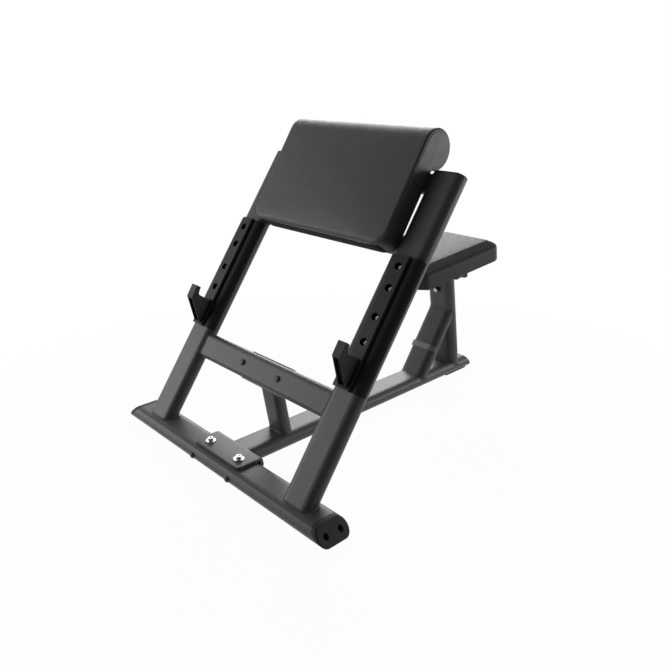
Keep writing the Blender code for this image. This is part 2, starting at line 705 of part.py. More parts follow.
def build_saddle(floor, base):
    """Bent plate over the base tube, its bright top bolts and the bolts through the base tube."""
    top = SADDLE_TOP
    under = top - SADDLE_THICKNESS
    inner_back = SADDLE_BACK_Y - SADDLE_THICKNESS
    profile = [(SADDLE_FRONT_Y, top, 0), (SADDLE_BACK_Y, top, SADDLE_BEND + SADDLE_THICKNESS),
               (SADDLE_BACK_Y, SADDLE_BOTTOM_Z, 0), (inner_back, SADDLE_BOTTOM_Z, 0),
               (inner_back, under, SADDLE_BEND), (SADDLE_FRONT_Y, under, 0)]
    plate = extrusion("saddle_plate", [rounded(profile)], 2 * SADDLE_HALF_WIDTH)
    round_corners(plate, SADDLE_FRONT_Y, SADDLE_CORNER)
    finish(place(plate, floor, (0, 0, 0), ALONG_X), "powder_coat")
    top_spots = [(side * SADDLE_BOLT_SPACING / 2, SADDLE_BOLT_Y, TUBE_TOP) for side in (-1, 1)]
    drill(base, top_spots, BOLT_RADIUS + GAP, 2 * TUBE_WALL + CUT_EXTRA, floor)
    drill(plate, top_spots, BOLT_RADIUS + GAP, 2 * SADDLE_THICKNESS + CUT_EXTRA, floor)
    washer_top = top + GAP + WASHER_THICKNESS
    shank = washer_top - TUBE_TOP + TUBE_WALL + THREAD_PAST
    for number, (x, y, _) in enumerate(top_spots, 1):
        washer = ring(f"saddle_washer_{number}", WASHER_RADIUS, BOLT_RADIUS + GAP, WASHER_THICKNESS, floor,
                      (x, y, washer_top - WASHER_THICKNESS / 2))
        finish(washer, "bright_steel")
        profile = socket_profile(SOCKET_HEAD_RADIUS, SOCKET_HEAD_HEIGHT, BOLT_RADIUS, shank)
        bolt = turned(f"saddle_bolt_{number}", profile, floor, (x, y, washer_top + GAP))
        finish(bolt, "bright_steel")
    front = -TUBE_WIDTH / 2 - GAP
    through = SADDLE_BACK_Y + GAP + NUT_HEIGHT - front + THREAD_PAST / 2
    low_spots = [(side * BASE_BOLT_SPACING / 2, 0, BASE_BOLT_Z) for side in (-1, 1)]
    drill(base, low_spots, BOLT_RADIUS + GAP, TUBE_WIDTH + CUT_EXTRA, floor, FACING_FRONT)
    back_spots = [(x, inner_back, z) for x, _, z in low_spots]
    drill(plate, back_spots, BOLT_RADIUS + GAP, 3 * SADDLE_THICKNESS, floor, FACING_FRONT)
    for number, (x, _, z) in enumerate(low_spots, 1):
        profile = dome_profile(DOME_RADIUS, DOME_HEIGHT, BOLT_RADIUS, through)
        bolt = turned(f"base_bolt_{number}", profile, floor, (x, front, z), FACING_FRONT)
        finish(bolt, "dark_steel")
        nut(f"base_nut_{number}", floor, (x, SADDLE_BACK_Y + GAP + NUT_HEIGHT / 2, z), FACING_FRONT)


def round_corners(plate, x_of_corners, radius):
    """Round the plan corners of an extruded plate at one end of its profile."""
    shape = bmesh.new()
    shape.from_mesh(plate.data)
    corners = [edge for edge in shape.edges
               if all(abs(v.co.x - x_of_corners) < MERGE_DISTANCE for v in edge.verts)
               and abs(edge.verts[0].co.z - edge.verts[1].co.z) < MERGE_DISTANCE]
    bmesh.ops.bevel(shape, geom=corners, offset=radius, segments=FILLET_STEPS, profile=0.5,
                    affect="EDGES")
    shape.to_mesh(plate.data)
    shape.free()


def build_post(floor, seat_frame):
    """Leaning seat post with its slanted brace, the bare band and the bolt in its front."""
    post_frame = frame("post_frame", floor, (0, POST_Y, TUBE_TOP), POST_LEAN - 90)
    size = (TUBE_WIDTH, TUBE_DEPTH)
    under_bracket = SEAT_UNDER - BRACKET_PLATE - 2 * GAP
    top = meet(post_frame, seat_frame, (0, 0, under_bracket), (0, 0, 1))
    post = tube("seat_post", size, (-TUBE_MIDDLE, 0), top, TUBE_WALL, post_frame)
    cope(post, "center_beam")
    brace_frame = frame("brace_frame", floor, (0, BRACE_Y, TUBE_TOP), BRACE_LEAN - 90)
    start = -TUBE_MIDDLE / sin(radians(BRACE_LEAN))
    crossing = meet(brace_frame, post_frame, (0, 0, 0), (0, 1, 0))[0]
    brace = tube("seat_brace", size, (start, 0), (crossing, 0), TUBE_WALL, brace_frame)
    cope(brace, "center_beam", "seat_post")
    band = extrusion("badge_band", [wrap_outline(BAND_THICKNESS, BAND_REACH)], BAND_HEIGHT)
    finish(place(band, brace_frame, (0, 0, BAND_RISE)), "grey_moulding")
    rise = (POST_BOLT_Z - TUBE_TOP) / cos(radians(POST_LEAN - 90))
    face = -TUBE_RADIUS
    drill(post, [(0, face, rise)], BOLT_RADIUS + GAP, 2 * TUBE_WALL + CUT_EXTRA, post_frame, FACING_FRONT)
    bushing = ring("post_bolt_bushing", BUSHING_RADIUS, BOLT_RADIUS + GAP, BUSHING_LENGTH, post_frame,
                   (0, face - GAP - BUSHING_LENGTH / 2, rise), FACING_FRONT)
    finish(bushing, "moulding")
    seat = face - 2 * GAP - BUSHING_LENGTH
    profile = socket_profile(SMALL_HEAD_RADIUS, SMALL_HEAD_HEIGHT, BOLT_RADIUS,
                             BUSHING_LENGTH + TUBE_WALL + THREAD_PAST)
    finish(turned("post_bolt", profile, post_frame, (0, seat, rise), FACING_FRONT), "bright_steel")


def build_seat(seat_frame):
    """Seat cushion, its board, and the bracket that bolts it to the post."""
    board = extrusion("seat_board", [seat_outline(SEAT_BOARD_INSET, SEAT_BOARD_INSET)], SEAT_BOARD)
    finish(place(board, seat_frame, (0, 0, SEAT_UNDER + SEAT_BOARD / 2)), "plywood")
    finish(place(seat_cushion(), seat_frame), "vinyl")
    plate_middle = SEAT_UNDER - GAP - BRACKET_PLATE / 2
    bracket_length = BRACKET_REAR - BRACKET_FRONT
    bracket = extrusion("seat_bracket", [rounded_rect(BRACKET_WIDTH, bracket_length, BRACKET_CORNER)],
                        BRACKET_PLATE)
    place(bracket, seat_frame, (0, (BRACKET_FRONT + BRACKET_REAR) / 2, plate_middle))
    strap = extrusion("strap_of_seat_bracket", [rounded_rect(STRAP_WIDTH, STRAP_LENGTH, BRACKET_CORNER)],
                      BRACKET_PLATE)
    boolean(bracket, as_cutter(place(strap, seat_frame, (0, STRAP_Y, plate_middle))), "UNION")
    plate_bottom = plate_middle - BRACKET_PLATE / 2
    gusset_end = plate_bottom - GUSSET_DEPTH
    web = [(STRAP_Y, plate_middle, 0), (BRACKET_REAR - BRACKET_CORNER, plate_middle, 0),
           (BRACKET_REAR - BRACKET_CORNER, plate_bottom - BRACKET_PLATE, 0), (STRAP_Y, gusset_end, 0)]
    gusset = extrusion("gusset_of_seat_bracket", [rounded(web)], GUSSET_THICKNESS)
    boolean(bracket, as_cutter(place(gusset, seat_frame, (0, 0, 0), ALONG_X)), "UNION")
    cope(bracket, "seat_post")
    finish(bracket, "powder_coat")
    spots = [(side * SEAT_BOLT_SPACING / 2, SEAT_BOLT_Y, plate_bottom) for side in (-1, 1)]
    drill(bracket, spots, BOLT_RADIUS + GAP, 3 * BRACKET_PLATE, seat_frame)
    board_spots = [(x, y, SEAT_UNDER) for x, y, _ in spots]
    drill(board, board_spots, BOLT_RADIUS + GAP, 2 * (SEAT_BOLT_GRIP + GAP), seat_frame)
    length = BRACKET_PLATE + GAP + SEAT_BOLT_GRIP
    for number, (x, y, z) in enumerate(spots, 1):
        profile = socket_profile(SEAT_HEAD_RADIUS, SEAT_HEAD_HEIGHT, BOLT_RADIUS, length)
        bolt = turned(f"seat_bolt_{number}", profile, seat_frame, (x, y, z - GAP), FACING_DOWN)
        finish(bolt, "dark_steel")


def seat_outline(inset, end_inset):
    """Plan of the seat, drawn in by inset at its sides and by end_inset at its ends."""
    front = SEAT_FRONT + end_inset
    rear = SEAT_REAR - end_inset
    taper = (SEAT_REAR_HALF - SEAT_FRONT_HALF) / (SEAT_REAR - SEAT_FRONT)
    front_half = SEAT_FRONT_HALF + taper * end_inset - inset
    rear_half = SEAT_REAR_HALF - taper * end_inset - inset
    front_corner = max(SEAT_FRONT_CORNER - inset, SEAT_PANEL_CORNER)
    rear_corner = max(SEAT_REAR_CORNER - inset, SEAT_PANEL_CORNER)
    corners = [(rear_half, rear, rear_corner), (-rear_half, rear, rear_corner),
               (-front_half, front, front_corner)]
    for k in range(1, SEAT_NOSE_STEPS):
        share = 2 * k / SEAT_NOSE_STEPS - 1
        corners.append((share * front_half, front - SEAT_NOSE * (1 - share ** 2), 0))
    corners.append((front_half, front, front_corner))
    return rounded(corners)


def seat_cushion():
    """Seat foam and cover: upright sides, a sloping border round the top and a crowned top panel."""
    side = rounded([(SEAT_TUCK, -CUSHION_THICKNESS, 0), (0, -CUSHION_THICKNESS, SEAT_TUCK),
                    (0, -SEAT_BORDER_DROP, SEAT_SHOULDER), (SEAT_BORDER, 0, 0)])
    levels = [(inset, inset * SEAT_END_BORDER / SEAT_BORDER, height) for inset, height in side]
    for share in SEAT_PANEL_ROWS:
        inward = share * (SEAT_FRONT_HALF - SEAT_BORDER)
        height = SEAT_CROWN * (1 - (1 - share) ** 2)
        levels.append((SEAT_BORDER + inward, SEAT_END_BORDER + inward, height))
    sections = [[(x, y, height) for x, y in seat_outline(inset, end_inset)]
                for inset, end_inset, height in levels]
    return loft("seat_pad", sections)


def build_arm_pad(lean_frame):
    """Arm pad between the uprights, with its board, the rails behind it and their bolts."""
    pad_frame = frame("pad_frame", lean_frame, (0, PAD_ROLL_DEPTH, PAD_ROLL_RISE), PAD_STEEPER)
    finish(place(arm_cushion(), pad_frame), "vinyl")
    board_top = -PAD_ROLL_RADIUS - GAP
    board_bottom = -PAD_LENGTH + BOARD_INSET
    height = board_top - board_bottom
    width = PAD_WIDTH - 2 * BOARD_INSET
    corner = PAD_CORNER - BOARD_INSET
    outline = rounded([(width / 2, height / 2, BOARD_INSET), (-width / 2, height / 2, BOARD_INSET),
                       (-width / 2, -height / 2, corner), (width / 2, -height / 2, corner)])
    board = extrusion("arm_pad_board", [outline], BOARD_THICKNESS)
    board_middle = (board_top + board_bottom) / 2
    place(board, pad_frame, (0, (BOARD_BACK + BOARD_FRONT) / 2, board_middle), FACING_FRONT)
    finish(board, "plywood")
    half = UPRIGHT_X - TUBE_WIDTH / 2 + TUBE_RADIUS
    rail_y = BOARD_BACK + GAP + RAIL_DEPTH / 2
    rail_back = rail_y + RAIL_DEPTH / 2
    bolt_length = RAIL_DEPTH + 2 * GAP + PAD_BOLT_GRIP
    number = 0
    for word, drop in (("upper", UPPER_RAIL_DROP), ("lower", LOWER_RAIL_DROP)):
        rail = tube("pad_cross_member_" + word, (RAIL_DEPTH, RAIL_HEIGHT), (-half, 0), (half, 0),
                    RAIL_WALL, pad_frame, (0, rail_y, -drop), ALONG_X)
        cope(rail, "upright_left", "upright_right")
        spots = [(side * PAD_BOLT_SPACING / 2, rail_y, -drop) for side in (-1, 1)]
        drill(rail, spots, BOLT_RADIUS + GAP, RAIL_DEPTH + CUT_EXTRA, pad_frame, FACING_FRONT)
        board_spots = [(x, BOARD_BACK, z) for x, _, z in spots]
        drill(board, board_spots, BOLT_RADIUS + GAP, 2 * (PAD_BOLT_GRIP + GAP), pad_frame, FACING_FRONT)
        for x, _, z in spots:
            number += 1
            profile = dome_profile(DOME_RADIUS, DOME_HEIGHT, BOLT_RADIUS, bolt_length)
            bolt = turned(f"pad_bolt_{number}", profile, pad_frame, (x, rail_back + GAP, z), FACING_REAR)
            finish(bolt, "dark_steel")


def arm_cushion():
    """Arm rest foam and cover: a crowned slab whose top is a full roll, as sections across X."""
    half = PAD_WIDTH / 2
    corner_start = half - PAD_CORNER
    edge_start = half - PAD_END_EDGE
    places = [corner_start * k / PAD_FLAT_STEPS for k in range(1, PAD_FLAT_STEPS + 1)]
    places += [corner_start + (edge_start - corner_start) * sin(pi / 2 * k / PAD_CORNER_STEPS)
               for k in range(1, PAD_CORNER_STEPS + 1)]
    places += [edge_start + PAD_END_EDGE * sin(pi / 2 * k / PAD_EDGE_STEPS)
               for k in range(1, PAD_EDGE_STEPS + 1)]
    stations = [-x for x in reversed(places)] + [0.0] + places
    return loft("arm_pad", [pad_section(x) for x in stations])


def pad_section(x):
    """Section of the arm pad at x: up its front, round the roll, down its back and along its bottom."""
    half = PAD_WIDTH / 2
    past_edge = max(abs(x) - (half - PAD_END_EDGE), 0)
    past_corner = max(abs(x) - (half - PAD_CORNER), 0)
    inset = PAD_END_EDGE - sqrt(max(PAD_END_EDGE ** 2 - past_edge ** 2, 0))
    bottom = -PAD_LENGTH + PAD_CORNER - sqrt(max(PAD_CORNER ** 2 - past_corner ** 2, 0))
    roll = PAD_ROLL_RADIUS - inset
    edge = PAD_EDGE - inset
    edge_top = bottom + inset + edge
    back = BOARD_FRONT - GAP
    across = 1 - (x / half) ** 2
    points = []
    for k in range(PAD_FRONT_STEPS):
        share = k / PAD_FRONT_STEPS
        crown = PAD_CROWN * across * (1 - (2 * share - 1) ** 2)
        points.append((x, -roll - crown, edge_top * (1 - share)))
    for k in range(PAD_ROLL_STEPS):
        angle = pi - 1.5 * pi * k / PAD_ROLL_STEPS
        points.append((x, roll * cos(angle), roll * sin(angle)))
    for k in range(PAD_BACK_STEPS + 1):
        points.append((x, back, -roll + (bottom + inset + roll) * k / PAD_BACK_STEPS))
    for k in range(1, FILLET_STEPS):
        angle = pi / 2 * k / FILLET_STEPS
        points.append((x, edge - roll - edge * sin(angle), edge_top - edge * cos(angle)))
    return points


def build_feet(floor):
    """Rubber feet under the beam's rear and near both ends of the base tube."""
    foot("rear_foot", REAR_FOOT_HALF_WIDTH, REAR_FOOT_END - REAR_FOOT_START, "center_beam", floor,
         (0, (REAR_FOOT_START + REAR_FOOT_END) / 2, 0), (radians(90), 0, 0))
    for side, word in ((-1, "left"), (1, "right")):
        foot("front_foot_" + word, FRONT_FOOT_HALF_WIDTH, FRONT_FOOT_LENGTH, "base_tube", floor,
             (side * FRONT_FOOT_X, 0, 0), ALONG_X)


def foot(name, half_width, length, under, parent, location, rotation):
    """Block under a tube, shaped to its underside; it is extruded along the tube."""
    sole = half_width - FOOT_WRAP / 2
    outline = rounded([(half_width, FOOT_WRAP, 0), (-half_width, FOOT_WRAP, 0),
                       (-sole, -FOOT_HEIGHT, FOOT_FILLET), (sole, -FOOT_HEIGHT, FOOT_FILLET)])
    block = extrusion(name, [outline], length)
    place(block, parent, location, rotation)
    cope(block, under)
    return finish(block, "rubber")


def build_bench():
    clear_scene()
    floor = frame("bench_frame", None, (0, -BENCH_MIDDLE, FOOT_HEIGHT))
    lean_frame = frame("upright_frame", floor, (0, UPRIGHT_FRONT_Y, TUBE_TOP), UPRIGHT_LEAN - 90)
    seat_frame = frame("seat_frame", floor, (0, SEAT_Y, SEAT_TOP), SEAT_TILT)
    base = build_base(floor)
    build_beam(floor)
    build_saddle(floor, base)
    build_uprights(lean_frame)
    build_crossbar(floor, lean_frame)
    build_arm_pad(lean_frame)
    build_post(floor, seat_frame)
    build_seat(seat_frame)
    build_feet(floor)


build_bench()
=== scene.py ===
"""Looks of the preacher bench: finishes, cushions, welds, socket heads, floor, light and camera.

Everything is in metres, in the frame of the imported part: +X right, +Y towards the seat, +Z up.
"""
from math import acos, atan2, cos, pi, radians, sin, sqrt, tan

import bmesh
import bpy
from mathutils import Matrix, Vector, noise
from mathutils.bvhtree import BVHTree


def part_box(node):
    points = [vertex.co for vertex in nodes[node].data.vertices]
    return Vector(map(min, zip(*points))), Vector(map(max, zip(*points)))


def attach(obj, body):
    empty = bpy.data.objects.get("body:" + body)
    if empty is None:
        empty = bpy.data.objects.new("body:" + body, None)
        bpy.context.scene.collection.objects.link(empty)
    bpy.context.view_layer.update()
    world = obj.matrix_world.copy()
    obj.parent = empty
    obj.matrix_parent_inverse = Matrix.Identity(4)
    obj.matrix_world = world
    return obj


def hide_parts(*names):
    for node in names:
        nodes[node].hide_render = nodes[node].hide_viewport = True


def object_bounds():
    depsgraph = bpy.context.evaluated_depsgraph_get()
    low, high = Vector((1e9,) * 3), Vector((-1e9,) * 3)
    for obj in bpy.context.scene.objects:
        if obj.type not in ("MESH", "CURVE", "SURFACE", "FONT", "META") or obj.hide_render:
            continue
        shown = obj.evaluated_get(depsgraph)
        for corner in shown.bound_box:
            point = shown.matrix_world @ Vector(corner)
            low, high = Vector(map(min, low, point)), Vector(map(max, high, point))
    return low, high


# Camera, solved from the photograph
CAMERA_PLACE = (1.417249, -1.437985, 1.039846)
CAMERA_AZIMUTH = 46.755
CAMERA_PITCH = 20.814
CAMERA_LENS = 36.99
CAMERA_SENSOR = 36.0

# Tubes (width, depth) and the slopes of the frame, in degrees about X
TUBE = (0.100, 0.045)
CROSSBAR_TUBE = (0.030, 0.078)
RAIL_TUBE = (0.030, 0.058)
STRUT_TUBE = (0.080, 0.038)
UPRIGHT_X = 0.323
UPRIGHT_TILT = -35.25
PAD_TILT = -33.38
SEAT_TILT = 9.8
BRACE_TILT = -34.3
STRUT_TILT = 10.0

# Where the tubes stand: along Y from the base tube's middle, up the uprights, and in the arm pad's frame
UPRIGHT_FOOT = -0.022
STRUT_FOOT = 0.2035
BRACE_FOOT = 0.8205
POST_FOOT = 0.99425
CROSSBAR_RISE = 0.262
RAIL_BEHIND = 0.0283
RAIL_DROPS = (("upper", 0.087), ("lower", 0.264))

# Socket heads: radius and height
SADDLE_HEAD = (0.0085, 0.008)
GUARD_HEAD = (0.0052, 0.0035)
POST_HEAD = (0.0068, 0.0070)

# Arm pad, in its own frame: the origin is the roll's centre, -Y the face, Z along the face
ROLL_RADIUS = 0.0529
ROLL_SWELL = 0.0024
PAD_HALF_WIDTH = 0.2705
PAD_LENGTH = 0.300
PAD_CORNER = 0.045
PAD_END_EDGE = 0.008
PAD_EDGE = 0.013
PAD_CROWN = 0.003
PAD_BOARD_FRONT = -0.002
PAD_BOARD_BACK = 0.013
PAD_BOARD_INSET = 0.004
PAD_FLAT_STEPS = 24
PAD_CORNER_STEPS = 9
PAD_EDGE_STEPS = 5
PAD_FACE_STEPS = 30
PAD_ROLL_STEPS = 40
PAD_BACK_STEPS = 32
PAD_UNDER_STEPS = 7
PAD_HELD_EDGE = 0.7
PAD_HELD_BACK = 0.9
PAD_STITCHED_ROW = 3
PAD_STITCHED_POINTS = 66
PAD_ROLL_FOOT = 0.7
PAD_ROLL_MIDDLE = 0.2
PAD_PANEL_RINGS = (0.06, 0.14)

# Seat, in its own frame: the origin lies on its seam's height, -Y is its nose
SEAT_REAR = 0.191
SEAT_REAR_HALF = 0.132
SEAT_FRONT = -0.145
SEAT_FRONT_HALF = 0.0811
SEAT_NOSE = 0.025
SEAT_REAR_CORNER = 0.028
SEAT_FRONT_CORNER = 0.012
SEAT_PANEL_CORNER = 0.008
SEAT_THICKNESS = 0.070
SEAT_BOARD = 0.012
SEAT_BOARD_INSET = 0.002
SEAT_BORDER = 0.038
SEAT_END_BORDER = 0.022
SEAT_BORDER_DROP = 0.0175
SEAT_LOWER_EDGE = 0.006
SEAT_FREE_START = 0.004
SEAT_LAP = 0.03
SEAT_SHOULDER = 0.013
SEAT_CROWN = 0.0012
SEAT_CROWN_ACROSS = 4
SEAT_CROWN_ALONG = 6
SEAT_SIDE_STEPS = 60
SEAT_END_STEPS = 36
SEAT_NOSE_STEPS = 8
SEAT_LOWER_STEPS = 3
SEAT_HEIGHT_STEPS = 6
SEAT_SHOULDER_STEPS = 5
SEAT_BORDER_STEPS = 7

# Air between touching pieces, and the steps round a corner of an outline
GAP = 0.0003
CORNER_STEPS = 12

# Covers: the cloth run, the swell that it may reach, the seams and the stitches
CLOTH_PRESSURE = 4
CLOTH_QUALITY = 4
CLOTH_BENDING = 0.8
CLOTH_FRAMES = 20
ARM_SWELL = 0.0045
SEAT_SWELL = 0.0004
ARM_SEAM_DEPTH = 0.0010
SEAT_SEAM_DEPTH = 0.0002
PUCKER = 0.0003
PUCKER_SCALE = 90
# Faces turned further down than this get the matt black under-cloth, which also paints the shade that falls
# under the cushions
UNDERSIDE = -0.75
STITCH_PITCH = 0.0045
STITCH_RADIUS = 0.0005
STITCH_REACH = 1.3
STITCH_ENDS = (0.2, 0.8)
STITCH_SUNK = 0.4
STITCH_SECTION = ((1, 0), (0.6, 0.9), (-0.6, 0.9), (-1, 0), (0, -0.6))

# Weld beads: spacing of their sections, length and height of the ripples, and how far out the search starts
WELD_SPACING = 0.0013
WELD_RADIUS = 0.0024
WELD_SIDES = 8
WELD_RIPPLE = 0.0042
WELD_RIPPLE_HEIGHT = 0.14
WELD_ROUGHNESS = 0.10
WELD_ROUGHNESS_SCALE = 60
UPRIGHT_SEARCH = 0.10
STRUT_SEARCH = 0.05
SEAT_TUBE_SEARCH = 0.08
BEAM_SEARCH = 0.12

# Sockets, as shares of the head, the heights of the rim and of the hexagon, and the air round the lining
SOCKET_STEPS = 24
SOCKET_WIDTH = 0.5
SOCKET_DEPTH = 0.55
SOCKET_RIM = -0.0004
HEXAGON_WIDTH = 0.86
HEXAGON_TOP = -0.0009
SKIN = 0.0001

# Studio: light of the surround, the side on which it darkens, the floor, and the lamps with their watts
WORLD_LIGHT = 0.08
DARK_SIDE = (0.68, -0.64, 0.36)
DARK_SIDE_FULL = 0.75
DARK_SIDE_LEVEL = 0.15
FLOOR_WHITE = 0.85
FLOOR_HALF = 12.0
FLOOR_EVEN = 0.97
FLOOR_FADE = (0.9, 1.8)
LAMPS = (
    ("back_light", (-3.0, 2.8, 2.4), (0, 0, 0.2), (2.8, 2.4), 175),
    ("front_left_light", (-2.4, -2.4, 1.1), (0, 0, 0.4), (2.2, 1.8), 55),
    ("back_right_light", (1.9, 2.5, 0.7), (0, 0, 0.4), (2.0, 1.2), 40),
)

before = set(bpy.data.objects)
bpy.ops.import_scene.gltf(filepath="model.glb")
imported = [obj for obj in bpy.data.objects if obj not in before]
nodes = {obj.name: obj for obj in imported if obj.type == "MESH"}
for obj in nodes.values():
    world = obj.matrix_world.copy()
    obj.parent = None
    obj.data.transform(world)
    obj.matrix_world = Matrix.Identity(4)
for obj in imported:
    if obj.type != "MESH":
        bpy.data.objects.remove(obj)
cad_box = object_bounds()


# Materials

class Finish:
    """A Principled material with a few short helpers for its texture nodes."""

    def __init__(self, name, roughness, metallic=0.0, specular=0.5):
        self.material = bpy.data.materials.new(name)
        self.material.use_nodes = True
        self.tree = self.material.node_tree
        self.shader = self.tree.nodes["Principled BSDF"]
        self.shader.inputs["Roughness"].default_value = roughness
        self.shader.inputs["Metallic"].default_value = metallic
        self.shader.inputs["Specular IOR Level"].default_value = specular
        self.place = self.tree.nodes.new("ShaderNodeTexCoord").outputs["Object"]
        self.height = None

    def node(self, kind, **inputs):
        made = self.tree.nodes.new(kind)
        for name, value in inputs.items():
            socket = made.inputs[name.replace("_", " ")]
            if isinstance(value, bpy.types.NodeSocket):
                self.tree.links.new(value, socket)
            else:
                socket.default_value = value
        return made

    def noise(self, size, detail=2.0, roughness=0.5, stretch=(1, 1, 1)):
        """Noise whose features have about that size in metres."""
        mapping = self.node("ShaderNodeMapping", Vector=self.place, Scale=stretch)
        return self.node("ShaderNodeTexNoise", Vector=mapping.outputs["Vector"], Scale=1 / size,
                         Detail=detail, Roughness=roughness).outputs["Fac"]

    def cells(self, size, feature="F1"):
        found = self.node("ShaderNodeTexVoronoi", Vector=self.place, Scale=1 / size)
        found.feature = feature
        return found.outputs["Distance"]

    def ramp(self, value, stops):
        """Colour ramp over a value; stops are (position, grey or colour)."""
        made = self.node("ShaderNodeValToRGB", Fac=value)
        elements = made.color_ramp.elements
        while len(elements) < len(stops):
            elements.new(0.5)
        for element, (position, colour) in zip(elements, stops):
            element.position = position
            if not isinstance(colour, tuple):
                colour = (colour, colour, colour)
            element.color = (*colour, 1.0)
        return made.outputs["Color"]

    def colour(self, socket):
        self.tree.links.new(socket, self.shader.inputs["Base Color"])

    def roughness(self, value, low, high):
        made = self.node("ShaderNodeMapRange", Value=value)
        made.inputs["To Min"].default_value = low
        made.inputs["To Max"].default_value = high
        self.tree.links.new(made.outputs["Result"], self.shader.inputs["Roughness"])

    def bump(self, value, strength, distance):
        """Bump on top of the bumps made before."""
        made = self.node("ShaderNodeBump", Height=value, Strength=strength, Distance=distance)
        if self.height:
            self.tree.links.new(self.height, made.inputs["Normal"])
        self.height = made.outputs["Normal"]
        self.tree.links.new(self.height, self.shader.inputs["Normal"])


def powder_coat():
    """Charcoal powder coat: a fine pebble, a slight orange peel and a soft satin gloss."""
    finish = Finish("charcoal_powder_coat", 0.42, specular=0.28)
    blotch = finish.noise(0.09, 3)
    finish.colour(finish.ramp(blotch, [(0.3, (0.060, 0.060, 0.062)), (0.7, (0.070, 0.070, 0.072))]))
    finish.roughness(finish.noise(0.012, 2), 0.38, 0.48)
    finish.bump(finish.noise(0.0011, 2), 0.22, 0.0003)
    finish.bump(finish.noise(0.006, 1), 0.05, 0.0006)
    return finish.material


def vinyl(name, low, high, specular):
    """Upholstery vinyl: pebbled grain with fine pores and a slightly uneven sheen."""
    finish = Finish(name, 0.5, specular=specular)
    finish.shader.inputs["Sheen Weight"].default_value = 0.06
    finish.shader.inputs["Sheen Roughness"].default_value = 0.45
    finish.colour(finish.ramp(finish.noise(0.05, 4), [(0.3, low), (0.7, high)]))
    finish.roughness(finish.noise(0.02, 3), 0.44, 0.56)
    finish.bump(finish.cells(0.0021, "SMOOTH_F1"), 0.30, 0.0006)
    finish.bump(finish.noise(0.0006, 2), 0.18, 0.0002)
    finish.bump(finish.noise(0.035, 2), 0.06, 0.002)
    return finish.material


def moulding(name, low, high, roughness, specular):
    """Moulded polymer with the fine spark-eroded texture of its tool."""
    finish = Finish(name, 0.5, specular=specular)
    finish.colour(finish.ramp(finish.noise(0.03, 3), [(0.3, low), (0.7, high)]))
    finish.roughness(finish.noise(0.004, 2), *roughness)
    finish.bump(finish.noise(0.0008, 3, 0.7), 0.35, 0.00025)
    return finish.material


def steel(name, low, high, roughness):
    """Turned steel: fine lines and a slightly clouded plating."""
    finish = Finish(name, 0.3, metallic=1.0)
    finish.colour(finish.ramp(finish.noise(0.006, 3), [(0.3, low), (0.7, high)]))
    finish.roughness(finish.noise(0.002, 3), *roughness)
    finish.bump(finish.noise(0.0004, 2, stretch=(1, 1, 6)), 0.12, 0.0001)
    return finish.material


def rubber():
    finish = Finish("black_rubber", 0.8, specular=0.2)
    finish.colour(finish.ramp(finish.noise(0.01, 4), [(0.3, 0.014), (0.7, 0.024)]))
    finish.roughness(finish.noise(0.003, 2), 0.72, 0.88)
    finish.bump(finish.noise(0.0009, 3), 0.3, 0.0004)
    return finish.material


def stained_board():
    """Black stained plywood: fine long grain that the stain leaves visible."""
    finish = Finish("black_stained_board", 0.7, specular=0.2)
    grain = finish.noise(0.0012, 4, 0.6, stretch=(0.05, 1, 1))
    finish.colour(finish.ramp(grain, [(0.3, (0.020, 0.019, 0.018)), (0.7, (0.036, 0.034, 0.032))]))
    finish.roughness(grain, 0.6, 0.8)
    finish.bump(grain, 0.3, 0.0003)
    return finish.material


COAT = powder_coat()
PAD_VINYL = vinyl("pad_vinyl", (0.045, 0.045, 0.047), (0.056, 0.056, 0.058), 0.32)
# The seat has a darker copy of the pad's vinyl: its lower colour is painted shade that dims the seat, and
# its gloss is lower too
SEAT_VINYL_SHADED = vinyl("seat_vinyl_painted_shade", (0.040, 0.040, 0.041), (0.048, 0.048, 0.049), 0.125)
GUARD = moulding("guard_polymer", (0.007, 0.007, 0.0073), (0.011, 0.011, 0.0113), (0.42, 0.56), 0.2)
CAP = moulding("cap_polymer", (0.018, 0.018, 0.0185), (0.026, 0.026, 0.0265), (0.55, 0.7), 0.22)
BADGE = moulding("badge_polymer", (0.150, 0.150, 0.153), (0.175, 0.175, 0.178), (0.34, 0.46), 0.5)
BRIGHT = steel("zinc_plated_steel", (0.55, 0.55, 0.56), (0.68, 0.68, 0.69), (0.20, 0.32))
SATIN = steel("satin_steel", (0.80, 0.80, 0.81), (0.90, 0.90, 0.91), (0.42, 0.52))
DARK = steel("black_oxide_steel", (0.030, 0.030, 0.032), (0.050, 0.050, 0.052), (0.34, 0.48))
RUBBER = rubber()
# Matt black cloth for the cushions' downward faces: partly a real under-cloth, partly painted shade
# darkening the undersides
UNDER_CLOTH_AND_SHADE = moulding("black_under_cloth_and_painted_shade", (0.008, 0.008, 0.008), (0.013, 0.013, 0.013),
                       (0.85, 0.95), 0.1)
BOARD = stained_board()
THREAD = moulding("sewing_thread", (0.020, 0.020, 0.021), (0.035, 0.035, 0.036), (0.6, 0.8), 0.3)

FINISH_OF = {
    "arm_pad": PAD_VINYL, "seat_pad": PAD_VINYL, "arm_pad_board": BOARD, "seat_board": BOARD,
    "badge_band": BADGE, "base_bolt": DARK, "base_nut": DARK, "base_end_cap": CAP,
    "beam_end_cap": CAP, "upright_cap": CAP, "rack_cover_screw": SATIN, "rack_cover": GUARD,
    "end_cap_screw": DARK, "front_foot": RUBBER, "rear_foot": RUBBER, "pad_bolt": DARK,
    "post_bolt_bushing": GUARD, "post_bolt": BRIGHT, "saddle_bolt": BRIGHT, "saddle_washer": BRIGHT,
    "crossbar_bolt": COAT, "crossbar_nut": DARK, "seat_bolt": DARK,
}


def paint(piece, material):
    piece.data.materials.clear()
    piece.data.materials.append(material)


def paint_frame():
    """Give every carried-over node its finish; what isn't named is a coated steel piece."""
    for name, piece in nodes.items():
        known = [start for start in FINISH_OF if name.startswith(start)]
        material = FINISH_OF[max(known, key=len)] if known else COAT
        paint(piece, material)


